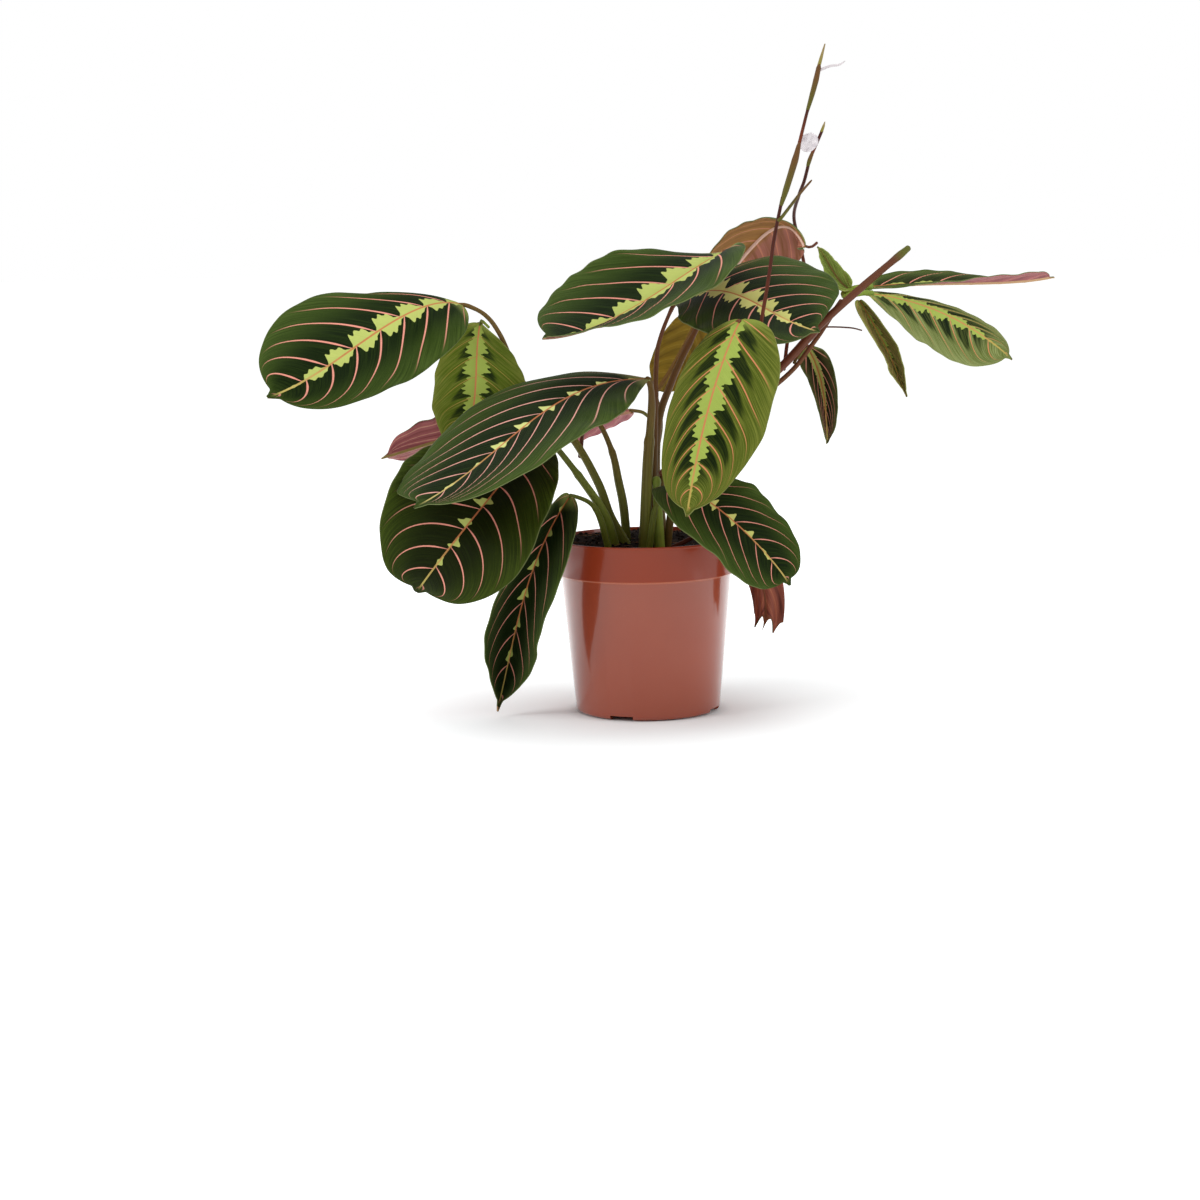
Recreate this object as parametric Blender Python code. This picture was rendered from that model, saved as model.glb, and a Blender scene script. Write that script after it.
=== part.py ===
"""A potted prayer plant: a terracotta-coloured plastic nursery pot of potting mix, a clump of sheathed
petioles, broad folded and drooping leaf blades, and two thin flower stalks with their bracts.

Frame: +Z up, origin at the centre of the pot's foot, -Y towards the viewer. Everything below is in
millimetres and is turned into Blender's metres where an object is made.
"""

from math import cos, log, pi, radians, sin

import bmesh
import bpy
from mathutils import Matrix, Vector

MM = 0.001

# ---- driving dimensions -------------------------------------------------------------------------
POT_HEIGHT = 115.0
RIM_RADIUS = 60.0
COLLAR_HEIGHT = 23.5
COLLAR_FOOT_RADIUS = 58.4
BODY_TOP_RADIUS = 56.6
FOOT_RADIUS = 48.0
POT_WALL = 1.3
POT_FLOOR_BOTTOM = 3.5
POT_FLOOR_TOP = 5.0
FOOT_ROUNDING = 2.5
FOOT_PAD_RADIUS = 14.0
POT_SEGMENTS = 40

NOTCH_COUNT = 4
NOTCH_WIDTH = 16.0
NOTCH_HEIGHT = 2.8
FIRST_NOTCH_ANGLE = -113.0
DRAIN_RADIUS = 2.4
DRAIN_CENTRE_RADIUS = 38.0

SOIL_EDGE_HEIGHT = 106.0
SOIL_CROWN_HEIGHT = 107.5
SOIL_GAP = 0.6

BLADE_THICKNESS = 0.7
BLADE_ROWS = 11
BLADE_COLUMNS = 6
STALK_STEP = 12.0
STALK_SIDES_RESOLUTION = 1

# ---- colours ------------------------------------------------------------------------------------
TERRACOTTA = (0.42, 0.12, 0.06)
PEAT = (0.012, 0.008, 0.006)
DARK_LEAF = (0.025, 0.07, 0.02)
FRESH_LEAF = (0.12, 0.28, 0.03)
PINK_UNDERSIDE = (0.30, 0.10, 0.11)
OLIVE_UNDERSIDE = (0.20, 0.12, 0.03)
STALK_GREEN = (0.09, 0.10, 0.03)
STALK_PURPLE = (0.10, 0.04, 0.03)
SHEATH_GREEN = (0.16, 0.34, 0.04)
BRACT_GREEN = (0.20, 0.17, 0.04)
PETAL_WHITE = (0.80, 0.76, 0.76)


def material(name, colour, roughness, metallic=0.0):
    """A plain Principled material, made once for each name."""
    made = bpy.data.materials.get(name)
    if made is None:
        made = bpy.data.materials.new(name)
        made.use_nodes = True
        shader = made.node_tree.nodes["Principled BSDF"]
        shader.inputs["Base Color"].default_value = (*colour, 1.0)
        shader.inputs["Roughness"].default_value = roughness
        shader.inputs["Metallic"].default_value = metallic
    return made


def new_object(name, mesh, finish):
    """A mesh object in the scene, with one material."""
    made = bpy.data.objects.new(name, mesh)
    mesh.materials.append(finish)
    bpy.context.scene.collection.objects.link(made)
    return made


def turned_mesh(name, profile):
    """The solid that a closed outline of (radius, height) points sweeps round the Z axis."""
    rings = bmesh.new()
    poles = [rings.verts.new((0, 0, height * MM)) if radius == 0 else None for radius, height in profile]
    columns = []
    for step in range(POT_SEGMENTS):
        angle = 2 * pi * step / POT_SEGMENTS
        columns.append(
            [
                pole or rings.verts.new((radius * cos(angle) * MM, radius * sin(angle) * MM, height * MM))
                for pole, (radius, height) in zip(poles, profile)
            ]
        )
    count = len(profile)
    for step in range(POT_SEGMENTS):
        here = columns[step]
        there = columns[(step + 1) % POT_SEGMENTS]
        for i in range(count):
            j = (i + 1) % count
            corners = list(dict.fromkeys((here[i], there[i], there[j], here[j])))
            if len(corners) > 2:
                rings.faces.new(corners)
    bmesh.ops.recalc_face_normals(rings, faces=rings.faces)
    mesh = bpy.data.meshes.new(name)
    rings.to_mesh(mesh)
    rings.free()
    return mesh


def cutter_from(name, build):
    """A helper mesh that Booleans read and renders leave out."""
    shape = bmesh.new()
    build(shape)
    mesh = bpy.data.meshes.new(name)
    shape.to_mesh(mesh)
    shape.free()
    made = bpy.data.objects.new(name, mesh)
    made.hide_render = True
    made.display_type = "WIRE"
    bpy.context.scene.collection.objects.link(made)
    return made


# ---- pot and potting mix ------------------------------------------------------------------------
def inner_radius(height):
    """The inside radius of the pot's tapered body at a height."""
    share = (height - POT_FLOOR_TOP) / (POT_HEIGHT - COLLAR_HEIGHT - POT_FLOOR_TOP)
    outer = FOOT_RADIUS + (BODY_TOP_RADIUS - FOOT_RADIUS) * min(share, 1.0)
    return outer - POT_WALL


def make_pot():
    """A moulded pot: a tapered body, a stepped collar, and a raised floor on a notched foot ring."""
    shoulder = POT_HEIGHT - COLLAR_HEIGHT
    foot_inside = FOOT_RADIUS - FOOT_ROUNDING - POT_WALL
    profile = [
        (foot_inside, 0.0),
        (FOOT_RADIUS - FOOT_ROUNDING, 0.0),
        (FOOT_RADIUS - 0.3 * FOOT_ROUNDING, 0.3 * FOOT_ROUNDING),
        (FOOT_RADIUS, FOOT_ROUNDING),
        (BODY_TOP_RADIUS, shoulder),
        (COLLAR_FOOT_RADIUS, shoulder),
        (RIM_RADIUS - 0.2, POT_HEIGHT - 1.0),
        (RIM_RADIUS - 0.6, POT_HEIGHT),
        (RIM_RADIUS - POT_WALL, POT_HEIGHT),
        (COLLAR_FOOT_RADIUS - POT_WALL, shoulder + POT_WALL),
        (inner_radius(shoulder), shoulder + POT_WALL),
        (inner_radius(POT_FLOOR_TOP + 2.0), POT_FLOOR_TOP + 2.0),
        (inner_radius(POT_FLOOR_TOP) - 2.0, POT_FLOOR_TOP),
    ]
    floor = [
        (0.0, POT_FLOOR_TOP),
        (0.0, 0.0),
        (FOOT_PAD_RADIUS, 0.0),
        (FOOT_PAD_RADIUS + 0.5, POT_FLOOR_BOTTOM),
        (foot_inside, POT_FLOOR_BOTTOM),
    ]
    pot = new_object("pot", turned_mesh("pot", profile + floor), material("terracotta", TERRACOTTA, 0.3))

    def notches(shape):
        for index in range(NOTCH_COUNT):
            angle = radians(FIRST_NOTCH_ANGLE + index * 360 / NOTCH_COUNT)
            made = bmesh.ops.create_cube(shape, size=1.0)["verts"]
            bmesh.ops.scale(shape, vec=(20 * MM, NOTCH_WIDTH * MM, 2 * NOTCH_HEIGHT * MM), verts=made)
            bmesh.ops.translate(shape, vec=((FOOT_RADIUS - 2) * MM, 0, 0), verts=made)
            bmesh.ops.rotate(shape, cent=(0, 0, 0), matrix=Matrix.Rotation(angle, 3, "Z"), verts=made)

    def drains(shape):
        for index in range(NOTCH_COUNT):
            angle = radians(FIRST_NOTCH_ANGLE + index * 360 / NOTCH_COUNT)
            made = bmesh.ops.create_cone(
                shape,
                cap_ends=True,
                segments=16,
                radius1=DRAIN_RADIUS * MM,
                radius2=DRAIN_RADIUS * MM,
                depth=10 * MM,
            )["verts"]
            centre = Vector((cos(angle), sin(angle), 0)) * DRAIN_CENTRE_RADIUS * MM
            centre.z = POT_FLOOR_TOP * MM
            bmesh.ops.translate(shape, vec=centre, verts=made)

    for name, build in (("foot_notches", notches), ("drain_holes", drains)):
        cut = pot.modifiers.new(name, "BOOLEAN")
        cut.operation = "DIFFERENCE"
        cut.object = cutter_from("cutter_" + name, build)
    return pot


def make_soil():
    """The potting mix: it fills the pot, a little clear of it, and is crowned at the middle."""
    low = POT_FLOOR_TOP + SOIL_GAP
    shoulder = POT_HEIGHT - COLLAR_HEIGHT
    lip = COLLAR_FOOT_RADIUS - POT_WALL - SOIL_GAP
    profile = [
        (0.0, low),
        (inner_radius(low) - 2.0 - SOIL_GAP, low),
        (inner_radius(low + 3.0) - SOIL_GAP, low + 3.0),
        (inner_radius(shoulder) - SOIL_GAP, shoulder),
        (inner_radius(shoulder) - SOIL_GAP, shoulder + POT_WALL + SOIL_GAP),
        (lip, shoulder + POT_WALL + SOIL_GAP),
        (lip + 0.4, SOIL_EDGE_HEIGHT - 1.5),
        (lip - 2.0, SOIL_EDGE_HEIGHT),
        (30.0, SOIL_CROWN_HEIGHT),
        (0.0, SOIL_CROWN_HEIGHT),
    ]
    return new_object("potting_mix", turned_mesh("potting_mix", profile), material("peat", PEAT, 0.95))


# ---- stalks -------------------------------------------------------------------------------------
def smooth_route(points, step):
    """Points about one step apart on a smooth curve through the given ones, which it passes in order."""
    route = [Vector(p) for p in points]
    padded = [2 * route[0] - route[1], *route, 2 * route[-1] - route[-2]]
    made = []
    for i in range(1, len(padded) - 2):
        a, b, c, d = padded[i - 1 : i + 3]
        pieces = max(1, round((c - b).length / step))
        for k in range(pieces):
            t = k / pieces
            made.append(
                0.5
                * (
                    2 * b
                    + (c - a) * t
                    + (2 * a - 5 * b + 4 * c - d) * t * t
                    + (3 * b - a - 3 * c + d) * t**3
                )
            )
    made.append(route[-1])
    return made


def stalk(name, finish, route, thick, step=STALK_STEP):
    """A tapering round stalk along a route. thick is its diameter at each of the route's points, or at
    its two ends."""
    if len(thick) == 2:
        thick = [thick[0] + (thick[1] - thick[0]) * i / (len(route) - 1) for i in range(len(route))]
    curve = bpy.data.curves.new(name, "CURVE")
    curve.dimensions = "3D"
    curve.bevel_depth = 0.5 * MM
    curve.bevel_resolution = STALK_SIDES_RESOLUTION
    curve.use_fill_caps = True
    points = smooth_route(route, step)
    sizes = along(route, thick, points)
    spline = curve.splines.new("POLY")
    spline.points.add(len(points) - 1)
    for target, point, size in zip(spline.points, points, sizes):
        target.co = (*(point * MM), 1.0)
        target.radius = size
    made = bpy.data.objects.new(name, curve)
    curve.materials.append(finish)
    bpy.context.scene.collection.objects.link(made)
    return made


def along(route, values, points):
    """The value at each point, read between the values at the route's own points."""
    marks = [0.0]
    for a, b in zip(route, route[1:]):
        marks.append(marks[-1] + (Vector(b) - Vector(a)).length)
    total = [0.0]
    for a, b in zip(points, points[1:]):
        total.append(total[-1] + (b - a).length)
    scale = marks[-1] / total[-1]
    found = []
    for length in (t * scale for t in total):
        i = max(k for k in range(len(marks) - 1) if marks[k] <= length + 1e-9)
        share = min(1.0, (length - marks[i]) / (marks[i + 1] - marks[i]))
        found.append(values[i] + (values[i + 1] - values[i]) * share)
    return found


# ---- blades -------------------------------------------------------------------------------------
def midrib_at(points, t):
    """The cubic that passes through four points, spaced by their distances, at t from 0 to 1."""
    marks = [0.0]
    for a, b in zip(points, points[1:]):
        marks.append(marks[-1] + (b - a).length)
    marks = [m / marks[-1] for m in marks]
    place = Vector((0, 0, 0))
    for i, point in enumerate(points):
        weight = 1.0
        for j, mark in enumerate(marks):
            if j != i:
                weight *= (t - mark) / (marks[i] - mark)
        place += weight * point
    return place


def facing(azimuth, elevation):
    """The way a blade's upper side looks: azimuth 0 is towards the viewer and 90 to the right."""
    az, el = radians(azimuth), radians(elevation)
    return Vector((sin(az) * cos(el), -cos(az) * cos(el), sin(el)))


def half_width(s, widest):
    """A blade's outline at s along its midrib, as a share of its greatest half width."""
    drawn = min(s / 0.965, 1.0) ** (log(0.5) / log(widest))
    oval = max(0.0, 1.0 - abs(2 * drawn - 1.0) ** 2.2) ** 0.6
    return max(oval, 0.06 if s < 0.5 else 0.035)


def section(u, fold, curl):
    """Across and up, in half widths, at share u of a half blade that is folded up and then curls."""
    steps = 8
    across = up = 0.0
    for k in range(steps):
        angle = radians(fold + curl * u * (k + 0.5) / steps)
        across += cos(angle) * u / steps
        up += sin(angle) * u / steps
    return across, up


def blade_point(points, s, t, half, face, face_tip, fold, curl, lean, widest):
    """A point of a blade's middle surface, s along the midrib and t from -1 to 1 across it."""
    here = midrib_at(points, s)
    ahead = midrib_at(points, min(s + 0.01, 1.0)) - midrib_at(points, max(s - 0.01, 0.0))
    ahead.normalize()
    look = facing(*face).lerp(facing(*face_tip), s)
    across = ahead.cross(look).normalized()
    up = across.cross(ahead)
    side = 0 if t >= 0 else 1
    sideways, upwards = section(abs(t), fold[side], curl[side])
    reach = half[side] * half_width(s, widest)
    along_midrib = ahead * (lean[side] * abs(t) * reach)
    return here + across * (sideways * reach * (1 if t >= 0 else -1)) + up * (upwards * reach) + along_midrib


def blade(name, finish, midrib, half, face, face_tip, fold=(12, 12), curl=(-20, -20), lean=(0, 0),
          widest=0.55, rows=BLADE_ROWS, columns=BLADE_COLUMNS):
    """A leaf blade: a thin sheet on a midrib through four points, which looks along face at its base and
    face_tip at its tip. Its two halves, left first when looking along it from above, have the widths
    half; they rise from the midrib by fold, turn on by curl before their edges, and sweep forward by
    lean. widest is the place along the midrib where it is broadest."""
    points = [Vector(p) for p in midrib]
    sheet = bmesh.new()
    ribs = []
    for i in range(rows + 1):
        s = 0.5 - 0.5 * cos(pi * i / rows)
        row = []
        for j in range(columns + 1):
            t = 2 * j / columns - 1
            place = blade_point(points, s, t, half, face, face_tip, fold, curl, lean, widest)
            row.append(sheet.verts.new(place * MM))
        ribs.append(row)
    for low, high in zip(ribs, ribs[1:]):
        for j in range(columns):
            sheet.faces.new((low[j], low[j + 1], high[j + 1], high[j]))
    mesh = bpy.data.meshes.new(name)
    sheet.to_mesh(mesh)
    sheet.free()
    made = new_object(name, mesh, finish)
    thicken = made.modifiers.new("thickness", "SOLIDIFY")
    thicken.thickness = BLADE_THICKNESS * MM
    thicken.offset = 0.0
    mesh.shade_smooth()
    return made


def make_blades():
    """Every leaf blade, from the far left of the clump to the right."""
    dark = material("leaf_dark", DARK_LEAF, 0.45)
    fresh = material("leaf_fresh", FRESH_LEAF, 0.45)
    pink = material("leaf_pink_underside", PINK_UNDERSIDE, 0.55)
    olive = material("leaf_olive_underside", OLIVE_UNDERSIDE, 0.55)

    blade(
        'blade_far_left', dark,
        [(-116, -25, 271), (-153, -60, 264), (-191, -54, 240), (-239, -54, 215)],
        (51, 37), (30, 35), (50, 0), (-25, 15), (-35, -15), (0.45, -0.35), 0.52,
    )
    blade(
        'blade_left_hanging', fresh,
        [(-105, -17, 258), (-108, -10, 238), (-110, -6, 213), (-126, -6, 168)],
        (32, 35), (-20, 15), (-5, 15), (0, 10), (-25, -15), (0, -0.05), 0.53,
    )
    blade(
        'blade_front_left', dark,
        [(3, -32, 221), (-43, -48, 214), (-92, -80, 183), (-145, -100, 148)],
        (51, 48), (45, 45), (-40, 15), (-10, 25), (-30, -5), (0.7, -0.45), 0.54,
    )
    blade(
        'blade_back_left', pink,
        [(-47, 12, 202), (-89, 30, 193), (-129, 26, 182), (-174, 10, 170)],
        (26, 25), (180, 60), (185, 45), (20, 15), (5, 0), (0.1, 0), 0.56,
    )
    blade(
        'blade_pink_middle', pink,
        [(-7, 26, 197), (-29, 44, 191), (-56, 54, 181), (-88, 56, 165)],
        (20, 20), (180, 50), (180, 50), (10, 10), (0, 0),
    )
    blade(
        'blade_low_left', dark,
        [(-68, -18, 185), (-94, -38, 155), (-120, -58, 125), (-150, -38, 86)],
        (55, 51), (-45, 5), (-25, -20), (30, 10), (10, -5), (0.1, -0.1), 0.52,
    )
    blade(
        'blade_low_hanging', dark,
        [(-49, -28, 146), (-67, -50, 117), (-83, -31, 72), (-100, -22, 4)],
        (30, 31), (0, 35), (-15, 35), (65, 25), (35, 5), (0.1, 0), 0.53,
    )
    blade(
        'blade_upper_left', dark,
        [(56, -2, 301), (24, -34, 285), (-18, -40, 261), (-64, -47, 249)],
        (49, 42), (-40, 20), (-5, 80), (20, 20), (0, -10), (0.5, -0.35),
    )
    blade(
        'blade_upper_middle', dark,
        [(22, 0, 268), (51, -16, 276), (81, -42, 263), (111, -56, 250)],
        (44, 52), (-60, 35), (-20, 30), (30, -15), (0, -25), (-0.1, 0.35), 0.51,
    )
    blade(
        'blade_front_right', fresh,
        [(60, -74, 259), (50, -82, 238), (36, -88, 195), (23, -128, 143)],
        (30, 40), (-25, 25), (5, 15), (-10, 10), (-30, -10), (-0.3, -0.35), 0.46,
    )
    blade(
        'blade_behind_middle', olive,
        [(41, 32, 266), (33, 36, 247), (20, 36, 224), (9, 32, 208)],
        (17, 17), (180, 10), (180, 10),
    )
    blade(
        'blade_top_back', pink,
        [(109, 16, 303), (93, 35, 317), (73, 49, 301), (52, 68, 276)],
        (33, 31), (185, 50), (175, 30), (5, -10), (-20, -30), (-0.05, 0.05), 0.56,
    )
    blade(
        'blade_right_long', dark,
        [(144, -10, 276), (183, 6, 279), (228, 22, 280), (279, 54, 280)],
        (23, 26), (0, 70), (-5, 75), (20, 10), (-25, -30), (0.05, -0.1),
    )
    blade(
        'blade_right_broad', fresh,
        [(145, -16, 273), (178, -21, 262), (205, -40, 247), (234, -49, 230)],
        (27, 21), (15, 65), (-5, 50), (25, 10), (-5, -20), (0.15, 0), 0.54,
    )
    blade(
        'blade_right_down', fresh,
        [(141, -12, 268), (151, -10, 251), (164, 5, 228), (174, 6, 204)],
        (22, 12), (-5, 25), (5, 20), (55, 70), (5, 20), (-0.35, -0.05), 0.47,
    )
    blade(
        'blade_right_hanging', dark,
        [(107, -2, 239), (117, 18, 223), (120, -4, 202), (121, 2, 174)],
        (26, 29), (-5, 0), (10, 5), (55, 75), (15, 30), (-0.1, -0.3), 0.52,
    )
    blade(
        'blade_low_right', dark,
        [(15, -22, 150), (40, -63, 144), (67, -68, 120), (90, -71, 91)],
        (39, 34), (5, 55), (5, 55), (10, 5), (-5, -10), (0.2, 0.3), 0.56,
    )
    blade(
        'blade_withered', pink,
        [(65, -20, 106), (72, -28, 95), (77, -25, 76), (75, -20, 53)],
        (20, 19), (175, 0), (170, 0), (25, 35), (20, 25),
    )
    blade(
        'sheath_wing', fresh,
        [(135, -10, 275), (128, -4, 282), (122, 4, 293), (116, 10, 303)],
        (9, 9), (-20, 30), (-20, 30), (30, 30),
    )


def make_stalks():
    """The petioles, their basal sheaths and the stems that carry the right-hand leaves."""
    green = material("stalk_green", STALK_GREEN, 0.5)
    purple = material("stalk_purple", STALK_PURPLE, 0.5)
    bright = material("sheath_green", SHEATH_GREEN, 0.5)

    stalk(
        'petiole_front_left', green,
        [(-1, -10, 108.5), (2, -14, 164), (5, -22, 202), (4, -30, 218)],
        (7.2, 6.6, 5.6, 4.0),
    )
    stalk(
        'petiole_low_left', green,
        [(-20, -2, 108.5), (-26, -7, 130), (-41, -10, 154), (-58, -14, 177), (-65.5, -17.5, 183.5)],
        (6.0, 3.6),
    )
    stalk(
        'petiole_far_left', green,
        [
            (-13, 4, 110), (-23, 3, 129), (-31, 2, 152), (-48, -3, 183), (-78, -12, 219),
            (-92, -17, 250), (-101, -20, 263), (-112, -24, 269.5),
        ],
        (6.2, 5.6, 5.2, 4.6, 3.8, 3.4, 3.2, 2.6),
    )
    stalk(
        'petiole_left_hanging', green,
        [(-99, -23, 255.5), (-101.5, -22.5, 258), (-104, -18.5, 259.8)],
        (1.6, 1.6), 3.0,
    )
    stalk('withered_sheath', purple, [(-42, 8, 168), (-41, 8, 179), (-39, 8, 188)], (3.2, 2.2))
    stalk(
        'petiole_back_left', green,
        [(-12, 12, 108.5), (-14, 10, 134), (-17, 9, 151), (-21, 8, 171), (-30, 8, 191), (-44, 11, 201)],
        (5.4, 5.6, 5.2, 4.2, 3.6, 2.8),
    )
    stalk(
        'petiole_low_hanging', green,
        [(-24.5, -10.5, 108.5), (-30, -15, 130), (-36, -19, 140), (-46.5, -26.5, 145.6)],
        (4.4, 2.8),
    )
    stalk(
        'petiole_upper_left', green,
        [
            (8, 10, 108.5), (9, 9, 182), (19, 10, 216), (36, 17, 250), (54, 26, 279), (61, 20, 293),
            (59, 3, 300.5),
        ],
        (5.6, 5.0, 4.4, 3.8, 3.4, 3.2, 3.0),
    )
    stalk('petiole_pink_middle', green, [(5.5, 13, 192), (0, 18, 196), (-5, 23, 196.8)], (2.4, 2.4), 4.0)
    stalk(
        'petiole_upper_middle', green,
        [(4, 0, 108.5), (7, 2, 172), (9, 2, 228), (12, 1, 246), (20, -3.6, 265.5)],
        (4.6, 4.0, 3.4, 3.0, 2.6),
    )
    stalk('basal_sheath', bright, [(9, -13, 108.5), (8, -12.5, 134), (7.5, -11, 154.5)], (6.6, 5.6))
    stalk(
        'petiole_front_right', green,
        [(14, -7, 108.5), (20, -16, 150), (35, -44, 200), (49, -66, 243), (57.5, -71.5, 256.8)],
        (5.0, 4.6, 4.0, 3.4, 2.8),
    )
    stalk(
        'petiole_behind_middle', green,
        [(-3, 16, 108.5), (4, 20, 150), (12, 26, 185), (9.5, 31, 205.5)],
        (4.0, 2.6),
    )
    stalk('petiole_low_right', green, [(2, -18, 108.5), (6, -20.5, 135), (13, -21.6, 148.5)], (4.4, 3.0))
    stalk(
        'petiole_withered', purple,
        [(22, -8, 110.5), (40, -14, 119), (57, -18.5, 120), (63.6, -19.6, 108.5)],
        (3.0, 2.0),
    )
    stalk(
        'flowering_stem', purple,
        [
            (10.5, -9.5, 157.5), (36, -16, 182), (85, -26, 223), (114, -28, 253), (141, -30, 277),
            (170, -34, 301),
        ],
        (3.6, 4.6, 5.0, 5.4, 5.4, 4.2),
    )
    stalk(
        'side_stem', purple,
        [(13, 2, 108.5), (17, 0, 166), (86, -12, 214), (110, -14, 240), (129, -13, 268)],
        (4.4, 4.0, 3.6, 3.4, 3.0),
    )
    stalk(
        'petiole_right_hanging', purple,
        [(98.5, -8.5, 228), (102.5, -6, 234.5), (106.2, -3.2, 238.4)],
        (2.0, 2.0), 4.0,
    )
    stalk(
        'petiole_right_down', purple,
        [(110, -10, 249.5), (120, -8, 251), (136, -2, 250), (144, 3, 248)],
        (1.0, 0.8),
    )
    stalk(
        'petiole_right_long', green,
        [(131.5, -8, 271), (137, -8.5, 274.5), (142.6, -9.6, 276)],
        (2.4, 2.4), 4.0,
    )
    stalk(
        'petiole_right_broad', green,
        [(131.5, -15.5, 269.5), (137, -16.5, 272), (143.4, -16.4, 272.8)],
        (2.2, 2.2), 4.0,
    )
    stalk(
        'petiole_top_back', purple,
        [(116, 12.5, 305.5), (113, 13, 303), (110.8, 14.6, 302.6)],
        (1.8, 1.8), 3.0,
    )


def make_flowers():
    """The two wiry flower stalks, with the bracts at their joints and what shows of the petals."""
    purple = material("stalk_purple", STALK_PURPLE, 0.5)
    bract = material("bract_green", BRACT_GREEN, 0.5)
    white = material("petal_white", PETAL_WHITE, 0.5)

    stalk(
        'flower_stalk_front', purple,
        [
            (63, -58, 205), (69, -69, 232), (74, -72, 262), (78.6, -67, 286), (82.6, -58, 308),
            (87.1, -54, 328),
        ],
        (1.8, 1.6), 14.0,
    )
    stalk(
        'bract_front_lower', bract,
        [(87.4, -54, 329), (90.8, -52, 338.5), (97, -48, 357), (99.4, -46, 365.6)],
        (1.8, 3.8, 4.2, 2.6), 8.0,
    )
    stalk(
        'bract_front_side', bract,
        [(89.2, -55, 323), (93.7, -50, 328.6), (100.6, -44, 336.7), (107.2, -38, 343.5)],
        (1.6, 1.0), 12.0,
    )
    stalk(
        'flower_stalk_front_middle', purple,
        [(99.7, -45.6, 366.4), (102.6, -43, 377), (105.4, -41, 387)],
        (1.6, 1.6), 10.0,
    )
    stalk(
        'bract_front_upper', bract,
        [(105.7, -40.6, 388), (108.8, -38, 397.5), (111.6, -36, 407), (113.3, -35, 414.3)],
        (1.8, 3.0, 3.2, 2.4), 8.0,
    )
    stalk(
        'flower_tip_front', bract,
        [(113.8, -34.8, 415.2), (115, -34, 420.5), (117.6, -33, 429.2)],
        (1.6, 1.5, 0.6), 8.0,
    )
    stalk(
        'petal_front_side', white,
        [(115.8, -34.4, 413.6), (120.4, -36, 415.3), (126, -38, 415.8), (129.6, -39, 418)],
        (1.1, 0.6), 8.0,
    )
    blade(
        'petal_front', white,
        [(101.8, -42.6, 364.4), (104.2, -42, 365.8), (106.3, -42, 369), (107.6, -41.5, 374)],
        (5, 5), (0, 10), (0, 10), rows=5, columns=2,
    )
    stalk(
        'flower_stalk_back', purple,
        [
            (92, -7.5, 224), (98, 14, 250), (111, 50, 278), (110, 62, 300), (104, 50, 322),
            (105.5, 27, 336.5), (107.8, 14, 345), (110.1, 9, 354.9),
        ],
        (1.8, 1.6), 12.0,
    )
    stalk(
        'bract_back', bract,
        [(110.2, 9, 355.6), (111, 8.8, 358.4), (112.2, 8.5, 361.6)],
        (1.6, 2.2, 1.6), 6.0,
    )
    stalk(
        'flower_stalk_back_upper', purple,
        [(112.5, 8.5, 362.2), (114.6, 8, 367), (119.1, 6.5, 377.1)],
        (1.7, 1.5), 10.0,
    )
    stalk(
        'flower_tip_back', bract,
        [(119.4, 6.4, 377.8), (120.1, 6.2, 380.2), (121, 5.8, 382.7)],
        (1.4, 0.5), 4.0,
    )


def main():
    for old in list(bpy.data.objects):
        bpy.data.objects.remove(old)
    make_pot()
    make_soil()
    make_blades()
    make_stalks()
    make_flowers()


main()
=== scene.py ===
"""The looks of a potted prayer plant: a glossy nursery pot, peat, sheathed stalks, patterned leaves and
two wiry flower stalks. Lengths are in millimetres and become Blender's metres as a piece is made."""

from math import cos, exp, log, pi, radians, sin
from random import Random

import bmesh
import bpy
from mathutils import Matrix, Vector, noise


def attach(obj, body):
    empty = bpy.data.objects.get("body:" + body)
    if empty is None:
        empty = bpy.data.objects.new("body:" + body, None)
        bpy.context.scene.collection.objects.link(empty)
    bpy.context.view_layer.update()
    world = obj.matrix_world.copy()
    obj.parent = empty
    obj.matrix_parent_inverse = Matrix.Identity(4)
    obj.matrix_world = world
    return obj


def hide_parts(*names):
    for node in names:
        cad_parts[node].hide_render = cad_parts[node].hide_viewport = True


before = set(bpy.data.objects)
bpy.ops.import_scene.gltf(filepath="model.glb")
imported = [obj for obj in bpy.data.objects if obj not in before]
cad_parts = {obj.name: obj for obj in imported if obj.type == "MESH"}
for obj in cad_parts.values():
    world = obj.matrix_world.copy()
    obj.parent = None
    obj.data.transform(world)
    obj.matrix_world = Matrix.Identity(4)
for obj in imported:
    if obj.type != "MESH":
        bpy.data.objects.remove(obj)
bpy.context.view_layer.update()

# ---- studio -------------------------------------------------------------------------------------
# A white sweep in a daylight studio: one big soft window high on the left, a softer one on the right
# and a reflector overhead. The camera stands 1.6 m in front with a short telephoto lens.
CAMERA_PLACE = (-0.0309, -1.6, 0.3053)
CAMERA_PITCH = 0.144
CAMERA_ROLL = -0.0195
LENS_MM = 73.0

eye = bpy.data.cameras.new("studio_camera")
eye.lens = LENS_MM
eye.sensor_width = 36.0
camera = bpy.data.objects.new("studio_camera", eye)
camera.matrix_world = (
    Matrix.Translation(CAMERA_PLACE)
    @ Matrix.Rotation(pi / 2 - CAMERA_PITCH, 4, "X")
    @ Matrix.Rotation(CAMERA_ROLL, 4, "Z")
)
bpy.context.scene.collection.objects.link(camera)
bpy.context.scene.camera = camera
bpy.context.scene.view_settings.view_transform = "Standard"


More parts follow.
